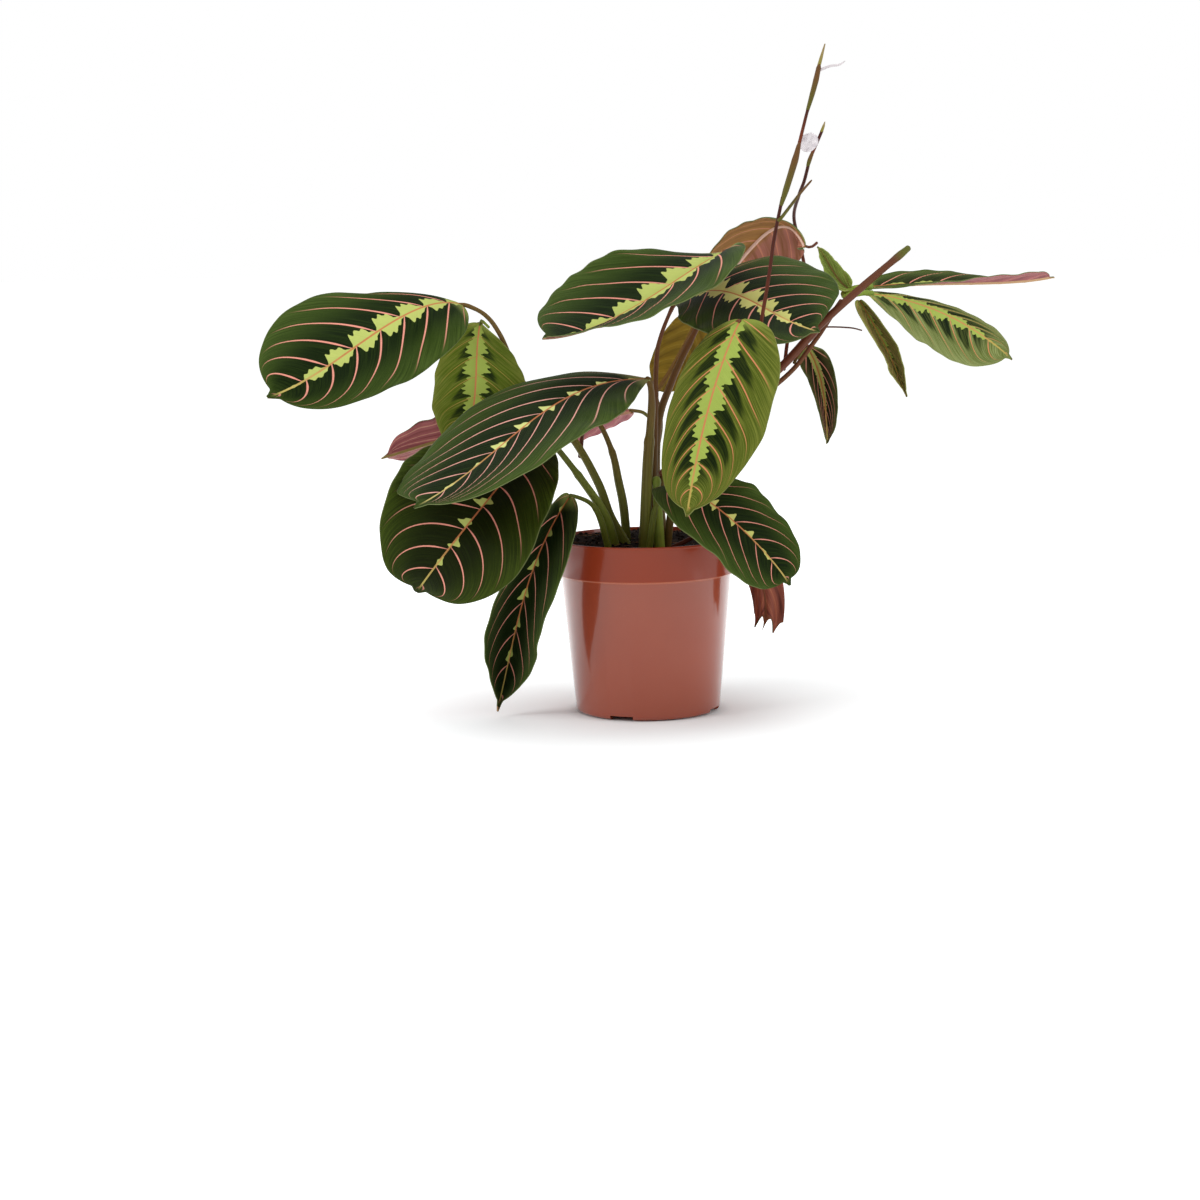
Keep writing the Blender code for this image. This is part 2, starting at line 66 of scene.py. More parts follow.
def soft_window(name, place, aim, size, power):
    """A rectangular soft light at a place, turned to what it lights."""
    lamp = bpy.data.lights.new(name, "AREA")
    lamp.shape = "RECTANGLE"
    lamp.size, lamp.size_y = size
    lamp.energy = power
    holder = bpy.data.objects.new(name, lamp)
    holder.location = place
    holder.rotation_euler = (Vector(aim) - Vector(place)).to_track_quat("-Z", "Y").to_euler()
    bpy.context.scene.collection.objects.link(holder)


soft_window("window_left", (-1.7, -0.8, 1.25), (0, 0, 0.15), (0.9, 1.2), 20)
soft_window("window_right", (1.5, -0.7, 0.8), (0, 0, 0.15), (0.5, 1.0), 8)
soft_window("overhead_reflector", (0.1, -0.1, 1.9), (0, 0, 0.2), (1.6, 1.6), 17)

# The room's walls are white to look at and throw back a little under half of that light.
ROOM_LIGHT = 0.47
FLOOR_SIZE = 60.0
FLOOR_GAP = 0.0004
FLOOR_WHITE = (0.89, 0.925, 0.93, 1)
# The floor's glow is painted light. The ramps and the shape after it fade the glow near the pot and stop it
# under the pot, which paints a soft shadow.
FLOOR_PAINTED_GLOW = 0.64
PAINTED_SHADOW_FROM_TO = (-0.06, 0.44)
PAINTED_SHADOW_SHAPE = (1.2, 0.72, 1.0)
PAINTED_SHADOW_UNDER_POT = (0.0465, 0.056)
sky = bpy.data.worlds.new("white_sweep")
sky.use_nodes = True
walls = sky.node_tree.nodes["Background"]
walls.inputs["Color"].default_value = (1, 1, 1, 1)
seen = sky.node_tree.nodes.new("ShaderNodeLightPath")
level = sky.node_tree.nodes.new("ShaderNodeMapRange")
level.inputs["To Min"].default_value = ROOM_LIGHT
level.inputs["To Max"].default_value = 1.0
sky.node_tree.links.new(seen.outputs["Is Camera Ray"], level.inputs["Value"])
sky.node_tree.links.new(level.outputs["Result"], walls.inputs["Strength"])
bpy.context.scene.world = sky


MM = 0.001


class Wire:
    """One socket of a finish's nodes. Sums on wires add the Math nodes that work them out."""

    def __init__(self, finish, socket):
        self.finish = finish
        self.socket = socket

    def math(self, operation, *others):
        return self.finish.node("ShaderNodeMath", {"operation": operation}, [self, *others])

    def __add__(self, other):
        return self.math("ADD", other)

    def __sub__(self, other):
        return self.math("SUBTRACT", other)

    def __mul__(self, other):
        return self.math("MULTIPLY", other)

    def __abs__(self):
        return self.math("ABSOLUTE")

    def __rsub__(self, other):
        return self.finish.node("ShaderNodeMath", {"operation": "SUBTRACT"}, [other, self])

    __radd__ = __add__
    __rmul__ = __mul__

    def ramp(self, start, end):
        """0 up to start and 1 from end on, with a soft rise between them; end may be the lower one."""
        return self.finish.node(
            "ShaderNodeMapRange",
            {"interpolation_type": "SMOOTHSTEP"},
            {"Value": self, "From Min": start, "From Max": end},
        )


class Finish:
    """A material in the making, on one Principled shader."""

    def __init__(self, name, roughness, **constants):
        self.material = bpy.data.materials.new(name)
        self.material.use_nodes = True
        self.nodes = self.material.node_tree.nodes
        self.shader = self.nodes["Principled BSDF"]
        self.shader.inputs["Roughness"].default_value = roughness
        for socket, value in constants.items():
            self.shader.inputs[socket.replace("_", " ")].default_value = value

    def node(self, kind, settings=None, inputs=(), output=0):
        """Adds a node: its settings first, then the value or wire of each input."""
        made = self.nodes.new(kind)
        for setting, value in (settings or {}).items():
            setattr(made, setting, value)
        pairs = inputs.items() if isinstance(inputs, dict) else enumerate(inputs)
        for key, value in pairs:
            if isinstance(value, Wire):
                self.material.node_tree.links.new(value.socket, made.inputs[key])
            else:
                made.inputs[key].default_value = value
        return Wire(self, made.outputs[output])

    def pair(self, uv_map):
        """The two coordinates of one of the piece's UV maps."""
        place = self.node("ShaderNodeUVMap", {"uv_map": uv_map})
        parts = self.node("ShaderNodeSeparateXYZ", inputs=[place])
        return parts, Wire(self, parts.socket.node.outputs[1])

    def place(self):
        """The place on the piece, in metres."""
        return self.node("ShaderNodeTexCoord", output=3)

    def vector(self, x, y, z=0.0):
        return self.node("ShaderNodeCombineXYZ", inputs=[x, y, z])

    def noise(self, place, scale=1.0, detail=2.0):
        return self.node("ShaderNodeTexNoise", inputs={"Vector": place, "Scale": scale, "Detail": detail})

    def blend(self, share, low, high):
        """A colour between two others, which are wires or as a paint chart gives them, 0 to 255."""
        low, high = (colour if isinstance(colour, Wire) else paint(*colour) for colour in (low, high))
        return self.node("ShaderNodeMix", {"data_type": "RGBA"}, {0: share, 6: low, 7: high}, output=2)

    def feed(self, socket, wire):
        self.material.node_tree.links.new(wire.socket, self.shader.inputs[socket])

    def bump(self, height, depth):
        """Relief of a depth in millimetres where height goes from 0 to 1."""
        self.feed("Normal", self.node(
            "ShaderNodeBump", inputs={"Strength": 1.0, "Distance": depth * MM, "Height": height}
        ))


def paint(red, green, blue):
    """A colour given as a paint chart gives it, 0 to 255, as the light it reflects."""
    return (*(((c / 255 + 0.055) / 1.055) ** 2.4 if c > 10 else c / 3295 for c in (red, green, blue)), 1.0)


def added(name, primitive, **sizes):
    """A new primitive, added with nothing else selected."""
    bpy.ops.object.select_all(action="DESELECT")
    primitive(**sizes)
    made = bpy.context.active_object
    made.name = name
    return made


# The floor is matt white with a painted glow all round. The glow is weaker near the pot, which paints a
# soft shadow there, and there is none at all under the pot, which is painted shadow.
floor = added(
    "studio_floor", bpy.ops.mesh.primitive_plane_add, size=FLOOR_SIZE, location=(0, 0, -FLOOR_GAP)
)
sweep = Finish(
    "studio_floor", 0.9, Base_Color=FLOOR_WHITE, Specular_IOR_Level=0.1, Emission_Strength=FLOOR_PAINTED_GLOW
)
spot = sweep.place()
away = sweep.node("ShaderNodeVectorMath", {"operation": "LENGTH"}, [spot], output=1)
drawn_out = sweep.node("ShaderNodeVectorMath", {"operation": "MULTIPLY"}, [spot, PAINTED_SHADOW_SHAPE])
reach = sweep.node("ShaderNodeVectorMath", {"operation": "LENGTH"}, [drawn_out], output=1)
# The glow grows with distance from the pot, measured on a widened ellipse: a painted soft shadow round the
# pot.
glow = reach.ramp(*PAINTED_SHADOW_FROM_TO)
# No glow inside the pot's foot: painted shadow under the pot.
open_from, open_to = PAINTED_SHADOW_UNDER_POT
sweep.feed("Emission Color", sweep.node(
    "ShaderNodeMapRange", inputs={"Value": away, "From Min": open_from, "From Max": open_to, "To Max": glow}
))
floor.data.materials.append(sweep.material)

# ---- pot ----------------------------------------------------------------------------------------
# A 12 cm nursery pot, moulded in one shot from glossy terracotta-coloured polypropylene: a tapered
# body, a stepped collar that stiffens the rim, and a raised floor with drain holes on a notched foot.
POT_HEIGHT = 115.0
RIM_RADIUS = 60.0
COLLAR_HEIGHT = 23.5
COLLAR_FOOT_RADIUS = 58.4
BODY_TOP_RADIUS = 56.6
FOOT_RADIUS = 48.0
POT_WALL = 1.3
POT_FLOOR_BOTTOM = 3.5
POT_FLOOR_TOP = 5.0
FOOT_ROUNDING = 2.5
FOOT_PAD_RADIUS = 14.0
NOTCH_COUNT = 4
NOTCH_WIDTH = 16.0
NOTCH_HEIGHT = 2.8
NOTCH_DEPTH = 20.0
FIRST_NOTCH_ANGLE = -113.0
DRAIN_RADIUS = 2.4
DRAIN_CENTRE_RADIUS = 38.0
EDGE_ROUNDING = 0.35
BODY_CLAY = (144, 62, 38)
BODY_CLAY_PALE = (152, 70, 44)
COLLAR_CLAY = (140, 54, 28)
COLLAR_EDGE_HIGHLIGHT = (200, 118, 86)
SPECK_CLAY = (178, 104, 80)
COLLAR_FROM_TO = (0.0905, 0.0925)


def turned(name, outline, sides):
    """A closed solid turned on the Z axis: a disc whose edge is drawn out from point to point."""
    radius, height = outline[0]
    made = added(
        name, bpy.ops.mesh.primitive_circle_add,
        vertices=sides, radius=radius * MM, fill_type="NGON", location=(0, 0, height * MM),
    )
    bpy.ops.object.mode_set(mode="EDIT")
    bpy.ops.mesh.select_mode(type="EDGE")
    bpy.ops.mesh.select_all(action="SELECT")
    bpy.ops.mesh.region_to_loop()
    for next_radius, next_height in outline[1:]:
        bpy.ops.mesh.extrude_edges_move(
            TRANSFORM_OT_translate={"value": (0, 0, (next_height - height) * MM)}
        )
        share = next_radius / radius
        bpy.ops.transform.resize(value=(share, share, 1), center_override=(0, 0, next_height * MM))
        radius, height = next_radius, next_height
    bpy.ops.mesh.edge_face_add()
    bpy.ops.mesh.select_all(action="SELECT")
    bpy.ops.mesh.normals_make_consistent(inside=False)
    bpy.ops.object.mode_set(mode="OBJECT")
    put_down(made)
    return made


def only(piece):
    """Selects one piece and nothing else."""
    bpy.ops.object.select_all(action="DESELECT")
    piece.select_set(True)
    bpy.context.view_layer.objects.active = piece


def put_down(piece):
    """Leaves a piece's place in its mesh and its object at the origin."""
    only(piece)
    bpy.ops.object.transform_apply(location=True, rotation=True, scale=True)


def apply_modifiers(piece):
    only(piece)
    for modifier in list(piece.modifiers):
        bpy.ops.object.modifier_apply(modifier=modifier.name)


def stand_in(piece, slot, *nodes):
    """The piece rides on the pot's body and is what shows of those frame pieces."""
    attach(piece, "root")
    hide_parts(*nodes)


def inner_radius(height):
    """The inside radius of the pot's tapered body at a height."""
    share = (height - POT_FLOOR_TOP) / (POT_HEIGHT - COLLAR_HEIGHT - POT_FLOOR_TOP)
    return FOOT_RADIUS + (BODY_TOP_RADIUS - FOOT_RADIUS) * min(share, 1.0) - POT_WALL


shoulder = POT_HEIGHT - COLLAR_HEIGHT
foot_inside = FOOT_RADIUS - FOOT_ROUNDING - POT_WALL
pot = turned(
    "nursery_pot",
    [
        (FOOT_PAD_RADIUS, 0.0),
        (FOOT_PAD_RADIUS + 0.5, POT_FLOOR_BOTTOM),
        (foot_inside, POT_FLOOR_BOTTOM),
        (foot_inside, 0.0),
        (FOOT_RADIUS - FOOT_ROUNDING, 0.0),
        (FOOT_RADIUS - 0.7 * FOOT_ROUNDING, 0.08 * FOOT_ROUNDING),
        (FOOT_RADIUS - 0.3 * FOOT_ROUNDING, 0.3 * FOOT_ROUNDING),
        (FOOT_RADIUS - 0.08 * FOOT_ROUNDING, 0.65 * FOOT_ROUNDING),
        (FOOT_RADIUS, FOOT_ROUNDING),
        (BODY_TOP_RADIUS, shoulder),
        (COLLAR_FOOT_RADIUS - 0.6, shoulder),
        (COLLAR_FOOT_RADIUS - 0.1, shoulder + 0.25),
        (COLLAR_FOOT_RADIUS + 0.1, shoulder + 0.9),
        (RIM_RADIUS - 0.3, POT_HEIGHT - 1.6),
        (RIM_RADIUS, POT_HEIGHT - 1.2),
        (RIM_RADIUS, POT_HEIGHT),
        (RIM_RADIUS - POT_WALL, POT_HEIGHT),
        (COLLAR_FOOT_RADIUS - POT_WALL, shoulder + POT_WALL),
        (inner_radius(shoulder), shoulder + POT_WALL),
        (inner_radius(POT_FLOOR_TOP + 2.0), POT_FLOOR_TOP + 2.0),
        (inner_radius(POT_FLOOR_TOP) - 2.0, POT_FLOOR_TOP),
        (6.0, POT_FLOOR_TOP),
    ],
    sides=160,
)
round_edges = pot.modifiers.new("moulded_edges", "BEVEL")
round_edges.width = EDGE_ROUNDING * MM
round_edges.segments = 3
round_edges.limit_method = "ANGLE"
round_edges.angle_limit = radians(32)

cutters = []
for index in range(NOTCH_COUNT):
    angle = radians(FIRST_NOTCH_ANGLE + index * 360 / NOTCH_COUNT)
    outwards = Vector((cos(angle), sin(angle), 0)) * MM
    cutters.append(added(
        "notch_cutter", bpy.ops.mesh.primitive_cube_add,
        size=1.0,
        location=outwards * (FOOT_RADIUS - 2),
        rotation=(0, 0, angle),
        scale=(NOTCH_DEPTH * MM, NOTCH_WIDTH * MM, 2 * NOTCH_HEIGHT * MM),
    ))
    cutters.append(added(
        "drain_cutter", bpy.ops.mesh.primitive_cylinder_add,
        vertices=32,
        radius=DRAIN_RADIUS * MM,
        depth=10 * MM,
        location=outwards * DRAIN_CENTRE_RADIUS + Vector((0, 0, POT_FLOOR_TOP * MM)),
    ))
for cutter in cutters:
    put_down(cutter)
    bore = pot.modifiers.new("cut", "BOOLEAN")
    bore.operation = "DIFFERENCE"
    bore.object = cutter
apply_modifiers(pot)
for cutter in cutters:
    bpy.data.objects.remove(cutter)
only(pot)
bpy.ops.object.shade_smooth_by_angle(angle=radians(30))

plastic = Finish("terracotta_plastic", 0.3, Specular_IOR_Level=0.15, Coat_Roughness=0.11)
spot = plastic.place()
flow = plastic.noise(spot, 26.0, 3.0)
speck = plastic.noise(spot, 900.0, 2.0)
scuff = plastic.noise(plastic.node(
    "ShaderNodeMapping", inputs={"Vector": spot, "Rotation": (0.2, 0.4, 0.3), "Scale": (1.0, 1.0, 0.12)}
), 420.0, 4.0)
clay = plastic.blend(flow, BODY_CLAY, BODY_CLAY_PALE)
height = plastic.node("ShaderNodeSeparateXYZ", inputs=[spot], output=2)
on_collar = height.ramp(*COLLAR_FROM_TO)
clay = plastic.blend(on_collar, clay, COLLAR_CLAY)
# A pale line along the collar's lower edge: a painted highlight.
lip = height.ramp(0.0905, 0.0915) * height.ramp(0.0926, 0.0918)
clay = plastic.blend(lip * 0.6, clay, COLLAR_EDGE_HIGHLIGHT)
clay = plastic.blend(speck.ramp(0.70, 0.80) * 0.25, clay, SPECK_CLAY)
plastic.feed("Base Color", clay)
plastic.feed("Roughness", 0.26 + 0.05 * flow + 0.10 * scuff.ramp(0.6, 0.8))
plastic.feed("Coat Weight", 1.0 - on_collar * (0.75 - 0.4 * flow.ramp(0.5, 0.66)))
plastic.bump(plastic.noise(spot, 60.0, 1.0), 0.03)
pot.data.materials.append(plastic.material)
stand_in(pot, "terracotta_plastic", "pot")

# ---- potting mix --------------------------------------------------------------------------------
# Damp black peat that fills the pot to a finger's breadth below the rim, lumpy on top, with loose
# crumbs and fine brown root fibres lying on it.
SOIL_EDGE_HEIGHT = 106.0
SOIL_CROWN_HEIGHT = 107.5
SOIL_GAP = 0.6
SOIL_EDGE_RADIUS = COLLAR_FOOT_RADIUS - POT_WALL - SOIL_GAP
SOIL_RING_STEP = 1.5
HEAP_HEIGHT = 7.0
CRUMBS = 620
CRUMB_SIZES = (1.2, 4.2)
FIBRES = 90
FIBRE_LENGTHS = (6.0, 15.0)

rings = int(SOIL_EDGE_RADIUS / SOIL_RING_STEP)
surface = [
    (
        SOIL_EDGE_RADIUS * (1 - k / rings),
        SOIL_EDGE_HEIGHT + (SOIL_CROWN_HEIGHT - SOIL_EDGE_HEIGHT) * min(1.0, 2 * k / rings),
    )
    for k in range(1, rings)
]
peat_body = turned(
    "peat",
    [
        (8.0, POT_FLOOR_TOP + SOIL_GAP),
        (inner_radius(POT_FLOOR_TOP) - 2.0 - SOIL_GAP, POT_FLOOR_TOP + SOIL_GAP),
        (inner_radius(POT_FLOOR_TOP + 3.0) - SOIL_GAP, POT_FLOOR_TOP + 3.0),
        (inner_radius(shoulder) - SOIL_GAP, shoulder),
        (SOIL_EDGE_RADIUS, shoulder + POT_WALL + SOIL_GAP),
        (SOIL_EDGE_RADIUS + 0.3, SOIL_EDGE_HEIGHT - 1.5),
        *surface,
    ],
    sides=150,
)


def soil_lump(x, y):
    """How far the peat's top stands above or below its mean there, with x and y in millimetres."""
    heap = HEAP_HEIGHT * min(1.0, max(0.0, (y + 12 - 0.35 * x) / 42))
    broad = noise.noise(Vector((x, y, 0)) / 13)
    small = noise.noise(Vector((x, y, 40)) / 4.2)
    grain = noise.noise(Vector((x, y, 90)) / 1.7)
    return heap + 1.5 * broad + 0.8 * small + 0.5 * grain


for vertex in peat_body.data.vertices:
    if vertex.co.z > (SOIL_EDGE_HEIGHT - 1.0) * MM:
        vertex.co.z += soil_lump(vertex.co.x / MM, vertex.co.y / MM) * MM
peat_body.data.shade_smooth()

peat = Finish("peat", 0.95, Specular_IOR_Level=0.1)
spot = peat.place()
clod = peat.noise(spot, 700.0, 6.0)
patchy = peat.noise(spot, 90.0, 3.0)
earth = peat.blend(clod, (8, 6, 5), (34, 24, 18))
earth = peat.blend(patchy.ramp(0.55, 0.75) * 0.6, earth, (46, 31, 22))
earth = peat.blend(peat.noise(spot, 1900.0, 1.0).ramp(0.70, 0.78) * 0.5, earth, (112, 84, 58))
peat.feed("Base Color", earth)
peat.feed("Roughness", 0.75 + 0.22 * clod)
peat.bump(clod, 0.9)
peat_body.data.materials.append(peat.material)
stand_in(peat_body, "potting_mix", "potting_mix")


def scattered(name, finish, source, count, seed, size_range, lift, turn_flat):
    """Many copies of small shapes strewn on the peat, each with its own size and turn, in one piece."""
    dice = Random(seed)
    gathered = bmesh.new()
    for _ in range(count):
        bearing = dice.uniform(0, 2 * pi)
        radius = (SOIL_EDGE_RADIUS - 1.5) * dice.random() ** 0.5
        x, y = radius * cos(bearing), radius * sin(bearing)
        size = dice.uniform(*size_range) * dice.uniform(0.6, 1.0)
        height = SOIL_CROWN_HEIGHT - 1.5 * (radius / SOIL_EDGE_RADIUS) ** 2 + soil_lump(x, y) + lift * size
        tilt = dice.uniform(-0.35, 0.35) if turn_flat else dice.uniform(0, pi)
        copy = source[dice.randrange(len(source))].copy()
        bmesh.ops.transform(
            copy,
            verts=copy.verts,
            matrix=Matrix.Translation(Vector((x, y, height)) * MM)
            @ Matrix.Rotation(dice.uniform(0, 2 * pi), 4, "Z")
            @ Matrix.Rotation(tilt, 4, "X")
            @ Matrix.Scale(size * MM, 4),
        )
        held = bpy.data.meshes.new("held")
        copy.to_mesh(held)
        gathered.from_mesh(held)
        bpy.data.meshes.remove(held)
        copy.free()
    mesh = bpy.data.meshes.new(name)
    gathered.to_mesh(mesh)
    gathered.free()
    made = bpy.data.objects.new(name, mesh)
    bpy.context.scene.collection.objects.link(made)
    mesh.materials.append(finish.material)
    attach(made, "root")


def small_shapes(count, seed, primitive, sizes, shape_in_edit_mode, shape_points):
    """A few unlike versions of a small shape, for scattered to copy."""
    dice = Random(seed)
    shapes = []
    for _ in range(count):
        model = added("small_shape", primitive, **sizes)
        put_down(model)
        bpy.ops.object.mode_set(mode="EDIT")
        bpy.ops.mesh.select_all(action="SELECT")
        shape_in_edit_mode(dice)
        bpy.ops.object.mode_set(mode="OBJECT")
        shape = bmesh.new()
        shape.from_mesh(model.data)
        shape_points(shape.verts, dice)
        bpy.data.objects.remove(model)
        shapes.append(shape)
    return shapes


def flatten(dice):
    bpy.ops.transform.resize(value=(1.0, dice.uniform(0.5, 0.9), dice.uniform(0.45, 0.75)))


def roughen(points, dice):
    for point in points:
        point.co *= dice.uniform(0.7, 1.2)


def give_joints(dice):
    bpy.ops.mesh.subdivide(number_cuts=4)


def bow(points, dice):
    aside, up = dice.uniform(-0.3, 0.3), dice.uniform(0.0, 0.12)
    for point in points:
        point.co.y += aside * cos(pi * point.co.x)
        point.co.z += up * cos(pi * point.co.x)


crumb_shapes = small_shapes(
    6, 3, bpy.ops.mesh.primitive_ico_sphere_add, dict(subdivisions=1, radius=0.5), flatten, roughen
)
scattered("peat_crumbs", peat, crumb_shapes, CRUMBS, 11, CRUMB_SIZES, 0.12, False)

root_fibre = Finish("root_fibre", 0.8, Specular_IOR_Level=0.2)
root_fibre.feed("Base Color", root_fibre.blend(
    root_fibre.noise(root_fibre.place(), 120.0, 2.0).ramp(0.35, 0.65), (52, 34, 24), (116, 86, 56)
))
fibre_shapes = small_shapes(
    5, 7, bpy.ops.mesh.primitive_cylinder_add,
    dict(vertices=5, radius=0.022, depth=1.0, rotation=(0, pi / 2, 0)), give_joints, bow,
)
scattered("root_fibres", root_fibre, fibre_shapes, FIBRES, 23, FIBRE_LENGTHS, 0.05, True)

# ---- stalks -------------------------------------------------------------------------------------
# Each leaf stands on a petiole: a solid stalk wrapped for most of its length by its own thin sheath,
# whose edges meet in a seam, and ending in a firm round joint under the blade. They rise from the peat
# in one clump. The two longer stems on the right are purple-brown and carry more leaves and the flowers.
STALK_SIDES = 16
STALK_STEP = 2.2
BURIED = 9.0
SHEATH_END = 0.62
JOINT_AT = 0.965


def smooth_route(points, step):
    """Points about one step apart on a smooth curve through the given ones, which it passes in order."""
    route = [Vector(p) for p in points]
    padded = [2 * route[0] - route[1], *route, 2 * route[-1] - route[-2]]
    made = []
    for i in range(1, len(padded) - 2):
        a, b, c, d = padded[i - 1 : i + 3]
        pieces = max(1, round((c - b).length / step))
        for k in range(pieces):
            t = k / pieces
            square, cube = 2 * a - 5 * b + 4 * c - d, 3 * b - a - 3 * c + d
            made.append(0.5 * (2 * b + (c - a) * t + square * t * t + cube * t**3))
    made.append(route[-1])
    return made


def along(route, values, points):
    """The value at each point, read between the values at the route's own points."""
    marks = [0.0]
    for a, b in zip(route, route[1:]):
        marks.append(marks[-1] + (Vector(b) - Vector(a)).length)
    total = [0.0]
    for a, b in zip(points, points[1:]):
        total.append(total[-1] + (b - a).length)
    scale = marks[-1] / total[-1]
    found = []
    for length in (t * scale for t in total):
        i = max(k for k in range(len(marks) - 1) if marks[k] <= length + 1e-9)
        share = min(1.0, (length - marks[i]) / (marks[i + 1] - marks[i]))
        found.append(values[i] + (values[i + 1] - values[i]) * share)
    return found


def rolled(name, points, sizes, shape):
    """A sheet rolled into a tube along a route and closed at both ends. shape(angle, share) changes the
    radius round the tube and gives a shift along it. Its UV map has the turn and the share along."""
    last = len(points) - 1
    tangents = [
        (points[min(i + 1, last)] - points[max(i - 1, 0)]).normalized() for i in range(last + 1)
    ]
    side = tangents[0].orthogonal().normalized()
    if abs(tangents[0].z) > 0.3:
        side = (Vector((0, -1, 0)) - tangents[0] * -tangents[0].y).normalized()
    frames = []
    for tangent in tangents:
        side = (side - tangent * side.dot(tangent)).normalized()
        frames.append((side, tangent.cross(side)))
    rows = last + 4
    made = added(
        name, bpy.ops.mesh.primitive_grid_add, x_subdivisions=STALK_SIDES, y_subdivisions=rows, size=1.0
    )
    mesh = made.data
    marks = []
    for vertex in mesh.vertices:
        turn, row = vertex.co.x + 0.5, round((vertex.co.y + 0.5) * rows)
        i = min(max(row - 2, 0), last)
        dome = {0: 0.0, 1: 0.72, rows - 1: 0.72, rows: 0.0}.get(row, 1.0)
        push = {0: -0.32, 1: -0.2, rows - 1: 0.2, rows: 0.32}.get(row, 0.0) * sizes[i]
        angle = 2 * pi * turn
        wider, shift = shape(angle, i / last)
        first, second = frames[i]
        radius = 0.5 * sizes[i] * dome * wider
        place = points[i] + first * (radius * cos(angle)) + second * (radius * sin(angle))
        vertex.co = (place + tangents[i] * (push + shift)) * MM
        marks.append((turn, i / last))
    layer = mesh.uv_layers.active
    layer.name = "turn"
    for loop in mesh.loops:
        layer.data[loop.index].uv = marks[loop.vertex_index]
    bpy.ops.object.mode_set(mode="EDIT")
    bpy.ops.mesh.select_all(action="SELECT")
    bpy.ops.mesh.remove_doubles(threshold=0.00002)
    bpy.ops.mesh.normals_make_consistent(inside=False)
    bpy.ops.object.mode_set(mode="OBJECT")
    put_down(made)
    mesh.shade_smooth()
    return made


def stalk_finish(name, foot, tip, fibre, roughness, seam_edge, cap=None):
    """A smooth skin that changes from foot to tip, with fine fibres along it and a pale seam, and perhaps
    an end of another colour."""
    finish = Finish(name, roughness, Specular_IOR_Level=0.15)
    turn, share = finish.pair("turn")
    fibres = finish.noise(finish.vector(turn * 22, share * 2.5), 1.0, 3.0)
    cloud = finish.noise(finish.place(), 60.0, 3.0)
    skin = finish.blend((share + 0.5 * (cloud - 0.5)).ramp(0.1, 0.95), foot, tip)
    skin = finish.blend(fibres.ramp(0.45, 0.75) * 0.75, skin, fibre)
    if cap:
        skin = finish.blend(share.ramp(0.94, 0.985), skin, cap)
    seam = abs(turn - 0.5).ramp(0.035, 0.012)
    skin = finish.blend(seam * 0.5, skin, seam_edge)
    finish.feed("Base Color", skin)
    finish.feed("Roughness", roughness - 0.08 + 0.2 * fibres)
    finish.bump(fibres - 0.6 * seam, 0.12)
    return finish.material


green_stalk = stalk_finish(
    "stalk_green", (104, 108, 38), (104, 80, 38), (54, 42, 20), 0.42, (150, 150, 76)
)
lush_stalk = stalk_finish(
    "stalk_lush", (116, 130, 46), (88, 96, 34), (58, 62, 22), 0.42, (160, 172, 84)
)
brown_stalk = stalk_finish(
    "stalk_brown", (98, 80, 36), (104, 62, 38), (54, 32, 20), 0.42, (150, 118, 70)
)
cane_skin = stalk_finish(
    "stalk_cane", (104, 58, 38), (96, 56, 36), (54, 28, 20), 0.38, (152, 108, 76),
    cap=(88, 90, 36),
)
purple_stalk = stalk_finish(
    "stalk_purple", (100, 54, 38), (96, 58, 40), (50, 26, 20), 0.38, (150, 104, 74)
)
bright_sheath = stalk_finish(
    "sheath_bright", (140, 160, 56), (120, 140, 56), (84, 100, 36), 0.45, (186, 200, 110)
)


def sheathed(angle, share):
    """A stalk in its sheath, which has a shallow seam and ends in a lip where the bare stalk comes out,
    and a slight swelling at its top joint."""
    seam = 0.10 * exp(-(((angle - pi) / 0.30) ** 2))
    joint = 0.22 * exp(-(((share - JOINT_AT) / 0.022) ** 2))
    lip = 0.12 * exp(-(((share - SHEATH_END) / 0.02) ** 2))
    bare = 0.16 * min(1.0, max(0.0, (share - SHEATH_END) / 0.03))
    return 1.07 - seam + joint + lip - bare, 0.0


def plain(angle, share):
    """A bare stalk, very slightly three-sided."""
    return 1.0 + 0.03 * sin(3 * angle + 5 * share), 0.0


def stalk(name, node, slot, skin, route, thick, shape=sheathed, grow_to=None, buried=False):
    """A stalk along a route, whose ends may go on into the peat and on to the blade that it carries."""
    if len(thick) == 2:
        foot, tip = thick
        thick = [foot + (tip - foot) * i / (len(route) - 1) for i in range(len(route))]
    route, thick = [Vector(p) for p in route], list(thick)
    if buried:
        down = (route[0] - route[1]).normalized()
        route.insert(0, route[0] + down * BURIED)
        thick.insert(0, thick[0])
    if grow_to is not None:
        route.append(Vector(grow_to))
        thick.append(thick[-1])
    points = smooth_route(route, STALK_STEP)
    made = rolled(name, points, along(route, thick, points), shape)
    made.data.materials.append(skin)
    stand_in(made, slot, node)


def petiole(leaf, slot, skin, route, thick, **ways):
    """The stalk that carries a leaf."""
    stalk("petiole_of_" + leaf, "petiole_" + leaf, slot, skin, route, thick, **ways)


